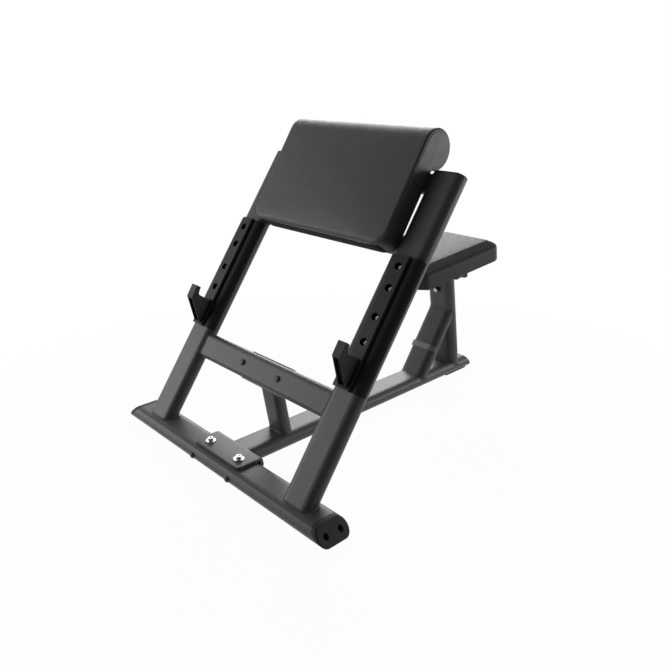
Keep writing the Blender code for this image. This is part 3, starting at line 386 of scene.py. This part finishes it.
def new_piece(name, mesh, material):
    piece = bpy.data.objects.new(name, mesh)
    bpy.context.scene.collection.objects.link(piece)
    paint(piece, material)
    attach(piece, "root")
    return piece


def to_mesh(name, shape, place):
    """Mesh of a bmesh, moved by a matrix into the row frame."""
    bmesh.ops.recalc_face_normals(shape, faces=shape.faces)
    if shape.calc_volume(signed=True) < 0:
        bmesh.ops.reverse_faces(shape, faces=shape.faces)
    mesh = bpy.data.meshes.new(name)
    shape.to_mesh(mesh)
    shape.free()
    mesh.transform(place)
    mesh.shade_smooth()
    return mesh


def bridge(shape, lower, upper):
    """Faces between two closed rings of as many points."""
    for k in range(len(lower)):
        shape.faces.new((lower[k - 1], lower[k], upper[k], upper[k - 1]))


# Frames of the pieces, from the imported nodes

def middle(name):
    low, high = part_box(name)
    return (low + high) / 2


def tilted(place, tilt):
    return Matrix.Translation(place) @ Matrix.Rotation(radians(tilt), 4, "X")


def pad_frame():
    low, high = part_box("arm_pad")
    return tilted((0, high.y - ROLL_RADIUS, high.z - ROLL_RADIUS), PAD_TILT)


def seat_frame():
    """The seat's own frame, found from the middle of the board that it lies on."""
    turn = Matrix.Rotation(radians(SEAT_TILT), 4, "X")
    board_rear = SEAT_REAR - SEAT_BOARD_INSET
    board_front = SEAT_FRONT - SEAT_NOSE + SEAT_BOARD_INSET
    board = Vector((0, (board_rear + board_front) / 2, SEAT_BOARD / 2 - SEAT_THICKNESS))
    return Matrix.Translation(middle("seat_board") - turn @ board) @ turn


# Cushions

def along(points, count, closed=False):
    """That many evenly spaced points on a polyline, from its start; an open one keeps its end."""
    ends = points[1:] + points[:1] if closed else points[1:]
    lengths = [(b - a).length for a, b in zip(points, ends)]
    total = sum(lengths)
    steps = count if closed else count - 1
    found = []
    leg = 0
    passed = 0.0
    for k in range(steps):
        target = total * k / steps
        while passed + lengths[leg] < target:
            passed += lengths[leg]
            leg += 1
        found.append(points[leg].lerp(ends[leg], (target - passed) / lengths[leg]))
    if not closed:
        found.append(points[-1].copy())
    return found


def rounded(corners):
    """Outline through corners (x, y, radius), and where each corner's middle comes in it."""
    points = []
    middles = []
    for k, (x, y, radius) in enumerate(corners):
        corner = Vector((x, y))
        if radius == 0:
            points.append(corner)
            continue
        before = (Vector(corners[k - 1][:2]) - corner).normalized()
        after = (Vector(corners[(k + 1) % len(corners)][:2]) - corner).normalized()
        half = before.angle(after) / 2
        centre = corner + (before + after).normalized() * radius / sin(half)
        first = corner + before * radius / tan(half) - centre
        last = corner + after * radius / tan(half) - centre
        start = atan2(first.y, first.x)
        sweep = (atan2(last.y, last.x) - start + pi) % (2 * pi) - pi
        middles.append(len(points) + CORNER_STEPS // 2)
        for step in range(CORNER_STEPS + 1):
            angle = start + sweep * step / CORNER_STEPS
            points.append(centre + radius * Vector((cos(angle), sin(angle))))
    return points, middles


def seat_ring(inset):
    """Plan of the seat drawn in by inset, evenly spaced over each end and side, from the rear right."""
    end_inset = inset * SEAT_END_BORDER / SEAT_BORDER
    front = SEAT_FRONT + end_inset
    rear = SEAT_REAR - end_inset
    taper = (SEAT_REAR_HALF - SEAT_FRONT_HALF) / (SEAT_REAR - SEAT_FRONT)
    front_half = SEAT_FRONT_HALF + taper * end_inset - inset
    rear_half = SEAT_REAR_HALF - taper * end_inset - inset
    rear_corner = max(SEAT_REAR_CORNER - inset, SEAT_PANEL_CORNER)
    front_corner = max(SEAT_FRONT_CORNER - inset, SEAT_PANEL_CORNER)
    corners = [(rear_half, rear, rear_corner), (-rear_half, rear, rear_corner),
               (-front_half, front, front_corner)]
    for k in range(1, 2 * SEAT_NOSE_STEPS):
        share = k / SEAT_NOSE_STEPS - 1
        corners.append((share * front_half, front - SEAT_NOSE * (1 - share ** 2), 0))
    corners.append((front_half, front, front_corner))
    points, middles = rounded(corners)
    points = points[middles[0]:] + points[:middles[0]]
    turns = [m - middles[0] for m in middles] + [len(points)]
    points.append(points[0])
    ring = []
    for first, last, count in zip(turns, turns[1:], (SEAT_END_STEPS, SEAT_SIDE_STEPS) * 2):
        ring += along(points[first:last + 1], count + 1)[:-1]
    return ring


def seat_levels():
    """(inset, height) of the seat's rings up to its seam: those glued to the board, and the free ones."""
    under = SEAT_BOARD - SEAT_THICKNESS + GAP
    wrap = SEAT_BOARD_INSET - GAP
    glued = [(wrap + SEAT_LAP, under), (wrap, under), (wrap, -SEAT_THICKNESS)]
    for k in range(SEAT_LOWER_STEPS + 1):
        angle = pi / 2 * k / SEAT_LOWER_STEPS
        inset = SEAT_LOWER_EDGE * (1 - sin(angle))
        glued.append((inset, SEAT_LOWER_EDGE * (1 - cos(angle)) - SEAT_THICKNESS))
    slope = Vector((SEAT_BORDER, SEAT_BORDER_DROP)).normalized()
    foot = Vector((0, -SEAT_THICKNESS + SEAT_LOWER_EDGE + SEAT_FREE_START))
    head = Vector((0, -SEAT_BORDER_DROP - SEAT_SHOULDER))
    side = along([foot, head], SEAT_HEIGHT_STEPS + 1)
    turn = atan2(slope.x, slope.y)
    reach = SEAT_SHOULDER * tan(turn / 2)
    centre = Vector((SEAT_SHOULDER, -SEAT_BORDER_DROP - reach))
    shoulder = []
    for k in range(1, SEAT_SHOULDER_STEPS):
        angle = turn * k / SEAT_SHOULDER_STEPS
        shoulder.append(centre + SEAT_SHOULDER * Vector((-cos(angle), sin(angle))))
    start = Vector((0, -SEAT_BORDER_DROP)) + slope * reach
    border = along([start, Vector((SEAT_BORDER, 0))], SEAT_BORDER_STEPS + 1)
    return glued, side + shoulder + border[:-1]


def seat_cushion(place):
    """Seat: boxed sides, a sloping border sewn to the crowned top panel and a curved nose."""
    shape = bmesh.new()
    glued, free = seat_levels()
    rings = [[shape.verts.new((p.x, p.y, height)) for p in seat_ring(inset)]
             for inset, height in (*glued, *free, (SEAT_BORDER, 0))]
    for lower, upper in zip(rings, rings[1:]):
        bridge(shape, lower, upper)
    shape.faces.new(rings[0])
    seam = rings[-1]
    ends, sides = SEAT_END_STEPS, SEAT_SIDE_STEPS
    rear = [seam[k] for k in range(ends + 1)]
    left = [seam[ends + k] for k in range(sides + 1)]
    front = [seam[(2 * ends + sides - k)] for k in range(ends + 1)]
    right = [seam[(2 * (ends + sides) - k) % len(seam)] for k in range(sides + 1)]
    grid = [rear]
    for row in range(1, sides):
        v = row / sides
        line = [right[row]]
        for column in range(1, ends):
            u = column / ends
            point = (rear[column].co * (1 - v) + front[column].co * v
                     + right[row].co * (1 - u) + left[row].co * u
                     - rear[0].co * (1 - u) * (1 - v) - rear[-1].co * u * (1 - v)
                     - front[0].co * (1 - u) * v - front[-1].co * u * v)
            rise = (1 - (2 * u - 1) ** SEAT_CROWN_ACROSS) * (1 - (2 * v - 1) ** SEAT_CROWN_ALONG)
            point.z = SEAT_CROWN * rise
            line.append(shape.verts.new(point))
        line.append(left[row])
        grid.append(line)
    grid.append(front)
    for near, far in zip(grid, grid[1:]):
        for k in range(ends):
            shape.faces.new((near[k], near[k + 1], far[k + 1], far[k]))
    shape.verts.index_update()
    seams = {v.index for v in seam}
    held = seams.union(v.index for ring in rings[:len(glued)] for v in ring)
    stitched = [[v.index for v in rings[-2]]]
    return to_mesh("seat_cushion", shape, place), held, seams, stitched


def arm_section(x, beside):
    """Ring of the arm pad at x in its YZ plane: face, roll, back, underside and lower edge."""
    past_end = max(abs(x) - (PAD_HALF_WIDTH - PAD_END_EDGE), 0)
    inset = PAD_END_EDGE - sqrt(max(PAD_END_EDGE ** 2 - past_end ** 2, 0))
    past_corner = min(max(abs(x) - (PAD_HALF_WIDTH - PAD_CORNER), 0), PAD_CORNER)
    bottom = -PAD_LENGTH + PAD_CORNER - sqrt(PAD_CORNER ** 2 - past_corner ** 2)
    roll = ROLL_RADIUS + ROLL_SWELL - inset
    front = ROLL_SWELL - roll
    across = 1 - (x / PAD_HALF_WIDTH) ** 2
    edge = PAD_EDGE - inset
    back = PAD_BOARD_BACK if beside else PAD_BOARD_FRONT - GAP
    points = []
    for k in range(PAD_FACE_STEPS):
        share = k / PAD_FACE_STEPS
        crown = PAD_CROWN * across * (1 - (2 * share - 1) ** 2)
        points.append((x, front - crown, (bottom + edge) * (1 - share)))
    last = -acos((back - ROLL_SWELL) / roll) if beside else -pi / 2
    for k in range(PAD_ROLL_STEPS + 1):
        angle = pi + (last - pi) * k / PAD_ROLL_STEPS
        points.append((x, ROLL_SWELL + roll * cos(angle), roll * sin(angle)))
    top_z = points[-1][2]
    points[-1] = (x, back, top_z)
    lip = bottom + PAD_BOARD_INSET + GAP
    for k in range(1, PAD_BACK_STEPS + 1):
        points.append((x, back, top_z + (lip - top_z) * k / PAD_BACK_STEPS))
    points.append((x, PAD_BOARD_BACK, lip - GAP))
    points.append((x, PAD_BOARD_BACK, bottom + inset))
    low_front = front + edge
    for k in range(1, PAD_UNDER_STEPS):
        y = PAD_BOARD_BACK + (low_front - PAD_BOARD_BACK) * k / PAD_UNDER_STEPS
        points.append((x, y, bottom + inset))
    for k in range(PAD_EDGE_STEPS):
        angle = -pi / 2 - pi / 2 * k / PAD_EDGE_STEPS
        points.append((x, low_front + edge * cos(angle), bottom + inset + edge + edge * sin(angle)))
    return points


def arm_stations():
    """(x, is it beside the board) of the sections over half the width, from the middle outwards."""
    board_end = PAD_HALF_WIDTH - PAD_BOARD_INSET
    corner_start = PAD_HALF_WIDTH - PAD_CORNER
    edge_start = PAD_HALF_WIDTH - PAD_END_EDGE
    inside = [corner_start * k / PAD_FLAT_STEPS for k in range(PAD_FLAT_STEPS + 1)]
    for k in range(1, PAD_CORNER_STEPS + 1):
        inside.append(corner_start + (board_end - corner_start) * sin(pi / 2 * k / PAD_CORNER_STEPS))
    outside = [board_end + GAP]
    for k in range(1, PAD_EDGE_STEPS + 1):
        x = edge_start + PAD_END_EDGE * sin(pi / 2 * k / PAD_EDGE_STEPS)
        if x > board_end + 2 * GAP:
            outside.append(x)
    return [(x, False) for x in inside] + [(x, True) for x in outside]


def arm_cushion(place):
    """Arm pad: one wrap over face, roll and back, and an end panel let into each end."""
    half = arm_stations()
    stations = [(-x, beside) for x, beside in reversed(half[1:])] + half
    shape = bmesh.new()
    rows = [[shape.verts.new(point) for point in arm_section(x, beside)] for x, beside in stations]
    for lower, upper in zip(rows, rows[1:]):
        bridge(shape, lower, upper)
    for row in (rows[0], rows[-1]):
        close_end(shape, row)
    shape.verts.index_update()
    held = set()
    for v in shape.verts:
        at_end = abs(v.co.x) > PAD_HALF_WIDTH - PAD_HELD_EDGE * PAD_END_EDGE
        on_board = v.co.y > PAD_BOARD_FRONT - 2 * GAP and v.co.z < -ROLL_RADIUS * PAD_HELD_BACK
        if at_end or on_board:
            held.add(v.index)
    seams = {v.index for row in (rows[0], rows[-1]) for v in row}
    stitched = [[v.index for v in row[:PAD_STITCHED_POINTS]]
                for row in (rows[PAD_STITCHED_ROW], rows[-1 - PAD_STITCHED_ROW])]
    return to_mesh("arm_pad_cushion", shape, place), held, seams, stitched


def close_end(shape, ring):
    """Fill an end: narrow rings that shrink towards the section's middle line, and triangles inside."""
    spine_y = (PAD_BOARD_BACK - ROLL_RADIUS) / 2
    lowest = min(v.co.z for v in ring) + ROLL_RADIUS / 2
    targets = []
    for v in ring:
        if v.co.z > -ROLL_RADIUS * PAD_ROLL_FOOT or v.co.y > PAD_BOARD_BACK + GAP:
            targets.append(Vector((v.co.x, spine_y * PAD_ROLL_MIDDLE, 0)))
        else:
            targets.append(Vector((v.co.x, spine_y, max(v.co.z, lowest))))
    previous = ring
    for share in PAD_PANEL_RINGS:
        row = [shape.verts.new(v.co.lerp(t, share)) for v, t in zip(ring, targets)]
        bridge(shape, previous, row)
        previous = row
    bmesh.ops.triangulate(shape, faces=[shape.faces.new(previous)])


def blow_up(piece, held, cap):
    """Blow a cover up with cloth pressure, by at most cap; held are the points sewn or glued."""
    mesh = piece.data
    group = piece.vertex_groups.new(name="held")
    group.add(sorted(held), 1.0, "REPLACE")
    rest = [v.co.copy() for v in mesh.vertices]
    cloth = piece.modifiers.new("cover", "CLOTH")
    cloth.settings.vertex_group_mass = group.name
    cloth.settings.use_pressure = True
    cloth.settings.uniform_pressure_force = CLOTH_PRESSURE
    cloth.settings.effector_weights.gravity = 0
    cloth.settings.quality = CLOTH_QUALITY
    cloth.settings.bending_stiffness = CLOTH_BENDING
    cloth.collision_settings.use_collision = False
    cloth.point_cache.frame_end = CLOTH_FRAMES
    for step in range(1, CLOTH_FRAMES + 1):
        bpy.context.scene.frame_set(step)
    graph = bpy.context.evaluated_depsgraph_get()
    blown = bpy.data.meshes.new_from_object(piece.evaluated_get(graph))
    piece.modifiers.clear()
    bpy.context.scene.frame_set(1)
    moves = [after.co - start for after, start in zip(blown.vertices, rest)]
    longest = max(move.length for move in moves)
    scale = min(1, cap / longest)
    for vertex, start, move in zip(mesh.vertices, rest, moves):
        vertex.co = start + move * scale
    bpy.data.meshes.remove(blown)


def settle(piece, seams, depth):
    """Sink and crease the seams, let the cover beside them pucker a little, and smooth the rest."""
    shape = bmesh.new()
    shape.from_mesh(piece.data)
    shape.verts.ensure_lookup_table()
    shape.normal_update()
    moves = {}
    for vertex in shape.verts:
        if vertex.index in seams:
            moves[vertex] = -depth * vertex.normal
        elif any(e.other_vert(vertex).index in seams for e in vertex.link_edges):
            moves[vertex] = PUCKER * noise.noise(vertex.co * PUCKER_SCALE) * vertex.normal
    for vertex, move in moves.items():
        vertex.co += move
    crease = shape.edges.layers.float.new("crease_edge")
    for edge in shape.edges:
        if all(v.index in seams for v in edge.verts):
            edge[crease] = 1.0
            edge.smooth = False
    shape.to_mesh(piece.data)
    shape.free()
    smooth = piece.modifiers.new("smooth", "SUBSURF")
    smooth.levels = 1
    smooth.use_limit_surface = False
    graph = bpy.context.evaluated_depsgraph_get()
    fine = bpy.data.meshes.new_from_object(piece.evaluated_get(graph))
    piece.modifiers.clear()
    fine.name = piece.name
    piece.data = fine


def stitches(name, piece, lines):
    """A short raised stitch every few millimetres along lines of the cover's points."""
    points = piece.data.vertices
    shape = bmesh.new()
    for line in lines:
        path = [points[k].co.copy() for k in line]
        normals = [points[k].normal.copy() for k in line]
        total = sum((b - a).length for a, b in zip(path, path[1:]))
        count = round(total / STITCH_PITCH)
        spots = along(path, 2 * count + 1)
        for k in range(0, 2 * count, 2):
            normal = normals[min(range(len(path)), key=lambda i: (path[i] - spots[k]).length_squared)]
            start = spots[k]
            end = start.lerp(spots[k + 1], STITCH_REACH)
            forward = (end - start).normalized()
            side = normal.cross(forward).normalized() * STITCH_RADIUS
            rise = normal * STITCH_RADIUS
            ring = []
            for share in STITCH_ENDS:
                centre = start.lerp(end, share)
                ring.append([shape.verts.new(centre + side * a + rise * b) for a, b in STITCH_SECTION])
            tips = [shape.verts.new(tip - rise * STITCH_SUNK) for tip in (start, end)]
            for i in range(len(STITCH_SECTION)):
                shape.faces.new((ring[0][i - 1], ring[0][i], ring[1][i], ring[1][i - 1]))
                shape.faces.new((tips[0], ring[0][i], ring[0][i - 1]))
                shape.faces.new((tips[1], ring[1][i - 1], ring[1][i]))
    mesh = to_mesh(name, shape, Matrix.Identity(4))
    new_piece(name, mesh, THREAD)


def add_cushions():
    arm = ("arm_pad", arm_cushion(pad_frame()), PAD_VINYL, ARM_SWELL, ARM_SEAM_DEPTH)
    seat = ("seat_pad", seat_cushion(seat_frame()), SEAT_VINYL_SHADED, SEAT_SWELL, SEAT_SEAM_DEPTH)
    for node, made, cover, cap, depth in (arm, seat):
        mesh, held, seams, lines = made
        cushion = new_piece(mesh.name, mesh, cover)
        blow_up(cushion, held, cap)
        stitches(node + "_stitches", cushion, lines)
        settle(cushion, seams, depth)
        cushion.data.materials.append(UNDER_CLOTH_AND_SHADE)
        half_height = middle(node).z
        # Downward faces below the middle get the black cloth, a real under-cloth that also paints the shade
        # under the cushions
        for face in cushion.data.polygons:
            if face.normal.z < UNDERSIDE and face.center.z < half_height:
                face.material_index = 1
        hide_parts(node)


# Welds and sockets

def oval_points(size, spacing):
    """Evenly spaced outline of a flat-oval tube, about its middle."""
    radius = min(size) / 2
    x, y = size[0] / 2, size[1] / 2
    points = rounded([(x, y, radius), (-x, y, radius), (-x, -y, radius), (x, -y, radius)])[0]
    length = sum((b - a).length for a, b in zip(points, points[1:] + points[:1]))
    return along(points, round(length / spacing), closed=True)


def surface(name):
    mesh = nodes[name].data
    return BVHTree.FromPolygons([v.co for v in mesh.vertices], [tuple(p.vertices) for p in mesh.polygons])


def weld(name, place, size, towards, target):
    """Rippled bead where a tube meets another piece; towards is the way along the tube's own Z."""
    tree = surface(target)
    way = (place.to_3x3() @ Vector((0, 0, towards))).normalized()
    inner = (size[0] - 2 * GAP, size[1] - 2 * GAP)
    outline = [Vector((p.x, p.y, 0)) for p in oval_points(inner, WELD_SPACING)]
    starts = [place @ point for point in outline]
    outward = [place.to_3x3() @ point.normalized() for point in outline]
    reaches = []
    for start in starts:
        hit = tree.ray_cast(start, way)[0]
        reaches.append((hit - start).length if hit else None)
    longest = max(reach for reach in reaches if reach is not None)
    for k, reach in enumerate(reaches):
        if reach is None:
            reaches[k] = reaches[k - 1] if reaches[k - 1] is not None else longest
    path = [start + way * reach for start, reach in zip(starts, reaches)]
    shape = bmesh.new()
    rings = []
    for k, point in enumerate(path):
        forward = (path[(k + 1) % len(path)] - path[k - 1]).normalized()
        out = (outward[k] - outward[k].dot(forward) * forward).normalized()
        up = forward.cross(out)
        ripple = WELD_RIPPLE_HEIGHT * sin(2 * pi * k * WELD_SPACING / WELD_RIPPLE)
        unevenness = WELD_ROUGHNESS * noise.noise(point * WELD_ROUGHNESS_SCALE)
        radius = WELD_RADIUS * (1 + ripple + unevenness)
        ring = []
        for i in range(WELD_SIDES):
            angle = 2 * pi * i / WELD_SIDES
            ring.append(shape.verts.new(point + radius * (out * cos(angle) + up * sin(angle))))
        rings.append(ring)
    for k, ring in enumerate(rings):
        bridge(shape, rings[k - 1], ring)
    mesh = to_mesh(name, shape, Matrix.Identity(4))
    new_piece(name, mesh, COAT)


def add_welds():
    base = middle("base_tube")
    top = base.z + TUBE[1] / 2
    pad = pad_frame()
    across = Matrix.Rotation(radians(90), 4, "Z") @ Matrix.Rotation(radians(90), 4, "X")
    lean = tilted((0, base.y + UPRIGHT_FOOT, top), UPRIGHT_TILT)
    bar = lean @ Matrix.Translation((0, TUBE[1] / 2, CROSSBAR_RISE)) @ across
    for side, word in ((-1, "left"), (1, "right")):
        foot = lean @ Matrix.Translation((side * UPRIGHT_X, TUBE[1] / 2, UPRIGHT_SEARCH))
        weld("weld_upright_" + word, foot, TUBE, -1, "base_tube")
        weld("weld_crossbar_" + word, bar, CROSSBAR_TUBE, side, "upright_" + word)
        for rail, drop in RAIL_DROPS:
            place = pad @ Matrix.Translation((0, RAIL_BEHIND, -drop)) @ across
            weld(f"weld_{rail}_rail_{word}", place, RAIL_TUBE, side, "upright_" + word)
    strut = tilted((0, base.y + STRUT_FOOT, top), STRUT_TILT) @ Matrix.Translation((0, 0, STRUT_SEARCH))
    weld("weld_strut_foot", strut, STRUT_TUBE, -1, "center_beam")
    weld("weld_strut_top", strut, STRUT_TUBE, 1, "strut_flange")
    up_the_tube = Matrix.Translation((0, 0, SEAT_TUBE_SEARCH))
    post = tilted((0, base.y + POST_FOOT, top), SEAT_TILT) @ up_the_tube
    weld("weld_post_foot", post, TUBE, -1, "center_beam")
    brace = tilted((0, base.y + BRACE_FOOT, top), BRACE_TILT) @ up_the_tube
    weld("weld_brace_foot", brace, TUBE, -1, "center_beam")
    weld("weld_brace_top", brace, TUBE, 1, "seat_post")
    beam = tilted((0, base.y + BEAM_SEARCH, base.z), -90)
    weld("weld_beam", beam, TUBE, -1, "saddle_plate")


def hex_socket(node, turn, head, finish=BRIGHT):
    """Hexagonal lining of a socket head's round recess; the head faces +Z of the turn."""
    points = [turn.transposed() @ v.co for v in nodes[node].data.vertices]
    low = [min(p[axis] for p in points) for axis in range(3)]
    high = [max(p[axis] for p in points) for axis in range(3)]
    place = turn.to_4x4() @ Matrix.Translation(((low[0] + high[0]) / 2, (low[1] + high[1]) / 2, high[2]))
    head_radius, head_height = head
    outer = head_radius * SOCKET_WIDTH - SKIN
    inner = outer * HEXAGON_WIDTH
    bottom = -head_height * SOCKET_DEPTH + SKIN
    rings = []
    shape = bmesh.new()
    for hexagonal, height in ((False, bottom), (False, SOCKET_RIM), (True, HEXAGON_TOP), (True, bottom)):
        ring = []
        for k in range(SOCKET_STEPS):
            angle = 2 * pi * k / SOCKET_STEPS
            radius = outer
            if hexagonal:
                radius = inner * cos(pi / 6) / cos((angle + pi / 6) % (pi / 3) - pi / 6)
            ring.append(shape.verts.new((radius * cos(angle), radius * sin(angle), height)))
        rings.append(ring)
    for k, ring in enumerate(rings):
        bridge(shape, rings[k - 1], ring)
    mesh = to_mesh(node + "_socket", shape, place)
    for polygon in mesh.polygons:
        polygon.use_smooth = False
    new_piece(mesh.name, mesh, finish)


def add_sockets():
    forward = Matrix.Rotation(radians(90), 3, "X")
    lean = Matrix.Rotation(radians(UPRIGHT_TILT), 3, "X") @ forward
    post = Matrix.Rotation(radians(SEAT_TILT), 3, "X") @ forward
    for number in (1, 2):
        hex_socket(f"saddle_bolt_{number}", Matrix.Identity(3), SADDLE_HEAD)
    for side in ("left", "right"):
        for number in (1, 2, 3, 4):
            hex_socket(f"rack_cover_screw_{side}_{number}", lean, GUARD_HEAD, SATIN)
    hex_socket("post_bolt", post, POST_HEAD)


# Studio

def surround():
    """White where the camera looks, faint as light, and graded to a dark side in reflections."""
    world = bpy.data.worlds.new("studio")
    bpy.context.scene.world = world
    world.use_nodes = True
    tree = world.node_tree
    tree.nodes.clear()
    path = tree.nodes.new("ShaderNodeLightPath")
    way = tree.nodes.new("ShaderNodeTexCoord").outputs["Generated"]
    facing = tree.nodes.new("ShaderNodeVectorMath")
    facing.operation = "DOT_PRODUCT"
    facing.inputs[1].default_value = DARK_SIDE
    tree.links.new(way, facing.inputs[0])
    grade = tree.nodes.new("ShaderNodeMapRange")
    grade.interpolation_type = "SMOOTHSTEP"
    grade.inputs["From Min"].default_value = 0.0
    grade.inputs["From Max"].default_value = DARK_SIDE_FULL
    grade.inputs["To Min"].default_value = 1.0
    grade.inputs["To Max"].default_value = DARK_SIDE_LEVEL
    tree.links.new(facing.outputs["Value"], grade.inputs["Value"])
    plain = background(tree, 1.0)
    graded = background(tree, 1.0)
    tree.links.new(grade.outputs["Result"], graded.inputs["Strength"])
    dim = background(tree, WORLD_LIGHT)
    reflected = tree.nodes.new("ShaderNodeMixShader")
    tree.links.new(seen_directly(tree), reflected.inputs["Fac"])
    tree.links.new(dim.outputs[0], reflected.inputs[1])
    tree.links.new(graded.outputs[0], reflected.inputs[2])
    mix = tree.nodes.new("ShaderNodeMixShader")
    tree.links.new(path.outputs["Is Camera Ray"], mix.inputs["Fac"])
    tree.links.new(reflected.outputs[0], mix.inputs[1])
    tree.links.new(plain.outputs[0], mix.inputs[2])
    out = tree.nodes.new("ShaderNodeOutputWorld")
    tree.links.new(mix.outputs[0], out.inputs["Surface"])


def add_floor():
    floor_mesh = bpy.data.meshes.new("floor")
    shape = bmesh.new()
    bmesh.ops.create_grid(shape, x_segments=8, y_segments=8, size=FLOOR_HALF)
    shape.to_mesh(floor_mesh)
    shape.free()
    floor = bpy.data.objects.new("floor", floor_mesh)
    floor.location = (0, 0, cad_box[0].z)
    bpy.context.scene.collection.objects.link(floor)
    paint(floor, floor_material())


def add_lamps():
    for name, spot, aim, size, power in LAMPS:
        lamp = bpy.data.lights.new(name, "AREA")
        lamp.shape = "RECTANGLE"
        lamp.size, lamp.size_y = size
        lamp.energy = power
        holder = bpy.data.objects.new(name, lamp)
        holder.location = spot
        holder.rotation_euler = (Vector(spot) - Vector(aim)).to_track_quat("Z", "Y").to_euler()
        holder.visible_camera = False
        bpy.context.scene.collection.objects.link(holder)


def background(tree, strength):
    made = tree.nodes.new("ShaderNodeBackground")
    made.inputs["Color"].default_value = (1, 1, 1, 1)
    made.inputs["Strength"].default_value = strength
    return made


def seen_directly(tree):
    """1 for rays of the camera, of mirrors and through glass."""
    path = tree.nodes.new("ShaderNodeLightPath")
    total = path.outputs["Is Camera Ray"]
    for name in ("Is Glossy Ray", "Is Transmission Ray"):
        add = tree.nodes.new("ShaderNodeMath")
        add.operation = "MAXIMUM"
        tree.links.new(total, add.inputs[0])
        tree.links.new(path.outputs[name], add.inputs[1])
        total = add.outputs[0]
    return total


def floor_material():
    """Pale matt floor: lit and shadowed near the bench, plain white further out."""
    material = bpy.data.materials.new("pale_floor")
    material.use_nodes = True
    tree = material.node_tree
    tree.nodes.clear()
    matt = tree.nodes.new("ShaderNodeBsdfDiffuse")
    matt.inputs["Color"].default_value = (FLOOR_WHITE, FLOOR_WHITE, FLOOR_WHITE, 1)
    white = tree.nodes.new("ShaderNodeEmission")
    white.inputs["Strength"].default_value = 1.0
    place = tree.nodes.new("ShaderNodeTexCoord").outputs["Object"]
    length = tree.nodes.new("ShaderNodeVectorMath")
    length.operation = "LENGTH"
    tree.links.new(place, length.inputs[0])
    fade = tree.nodes.new("ShaderNodeMapRange")
    fade.interpolation_type = "SMOOTHSTEP"
    fade.inputs["From Min"].default_value = FLOOR_FADE[0]
    fade.inputs["From Max"].default_value = FLOOR_FADE[1]
    fade.inputs["To Min"].default_value = FLOOR_EVEN
    fade.inputs["To Max"].default_value = 1.0
    tree.links.new(length.outputs["Value"], fade.inputs["Value"])
    share = tree.nodes.new("ShaderNodeMath")
    share.operation = "MULTIPLY"
    tree.links.new(fade.outputs["Result"], share.inputs[0])
    tree.links.new(seen_directly(tree), share.inputs[1])
    mix = tree.nodes.new("ShaderNodeMixShader")
    tree.links.new(share.outputs[0], mix.inputs["Fac"])
    tree.links.new(matt.outputs[0], mix.inputs[1])
    tree.links.new(white.outputs[0], mix.inputs[2])
    out = tree.nodes.new("ShaderNodeOutputMaterial")
    tree.links.new(mix.outputs[0], out.inputs["Surface"])
    return material


def camera():
    data = bpy.data.cameras.new("photo_camera")
    data.lens = CAMERA_LENS
    data.sensor_width = CAMERA_SENSOR
    holder = bpy.data.objects.new("photo_camera", data)
    holder.location = CAMERA_PLACE
    holder.rotation_euler = (radians(90 - CAMERA_PITCH), 0, radians(CAMERA_AZIMUTH))
    bpy.context.scene.collection.objects.link(holder)
    bpy.context.scene.camera = holder


bpy.context.scene.view_settings.view_transform = "Standard"
camera()
surround()
add_floor()
add_lamps()
paint_frame()
add_cushions()
add_welds()
add_sockets()
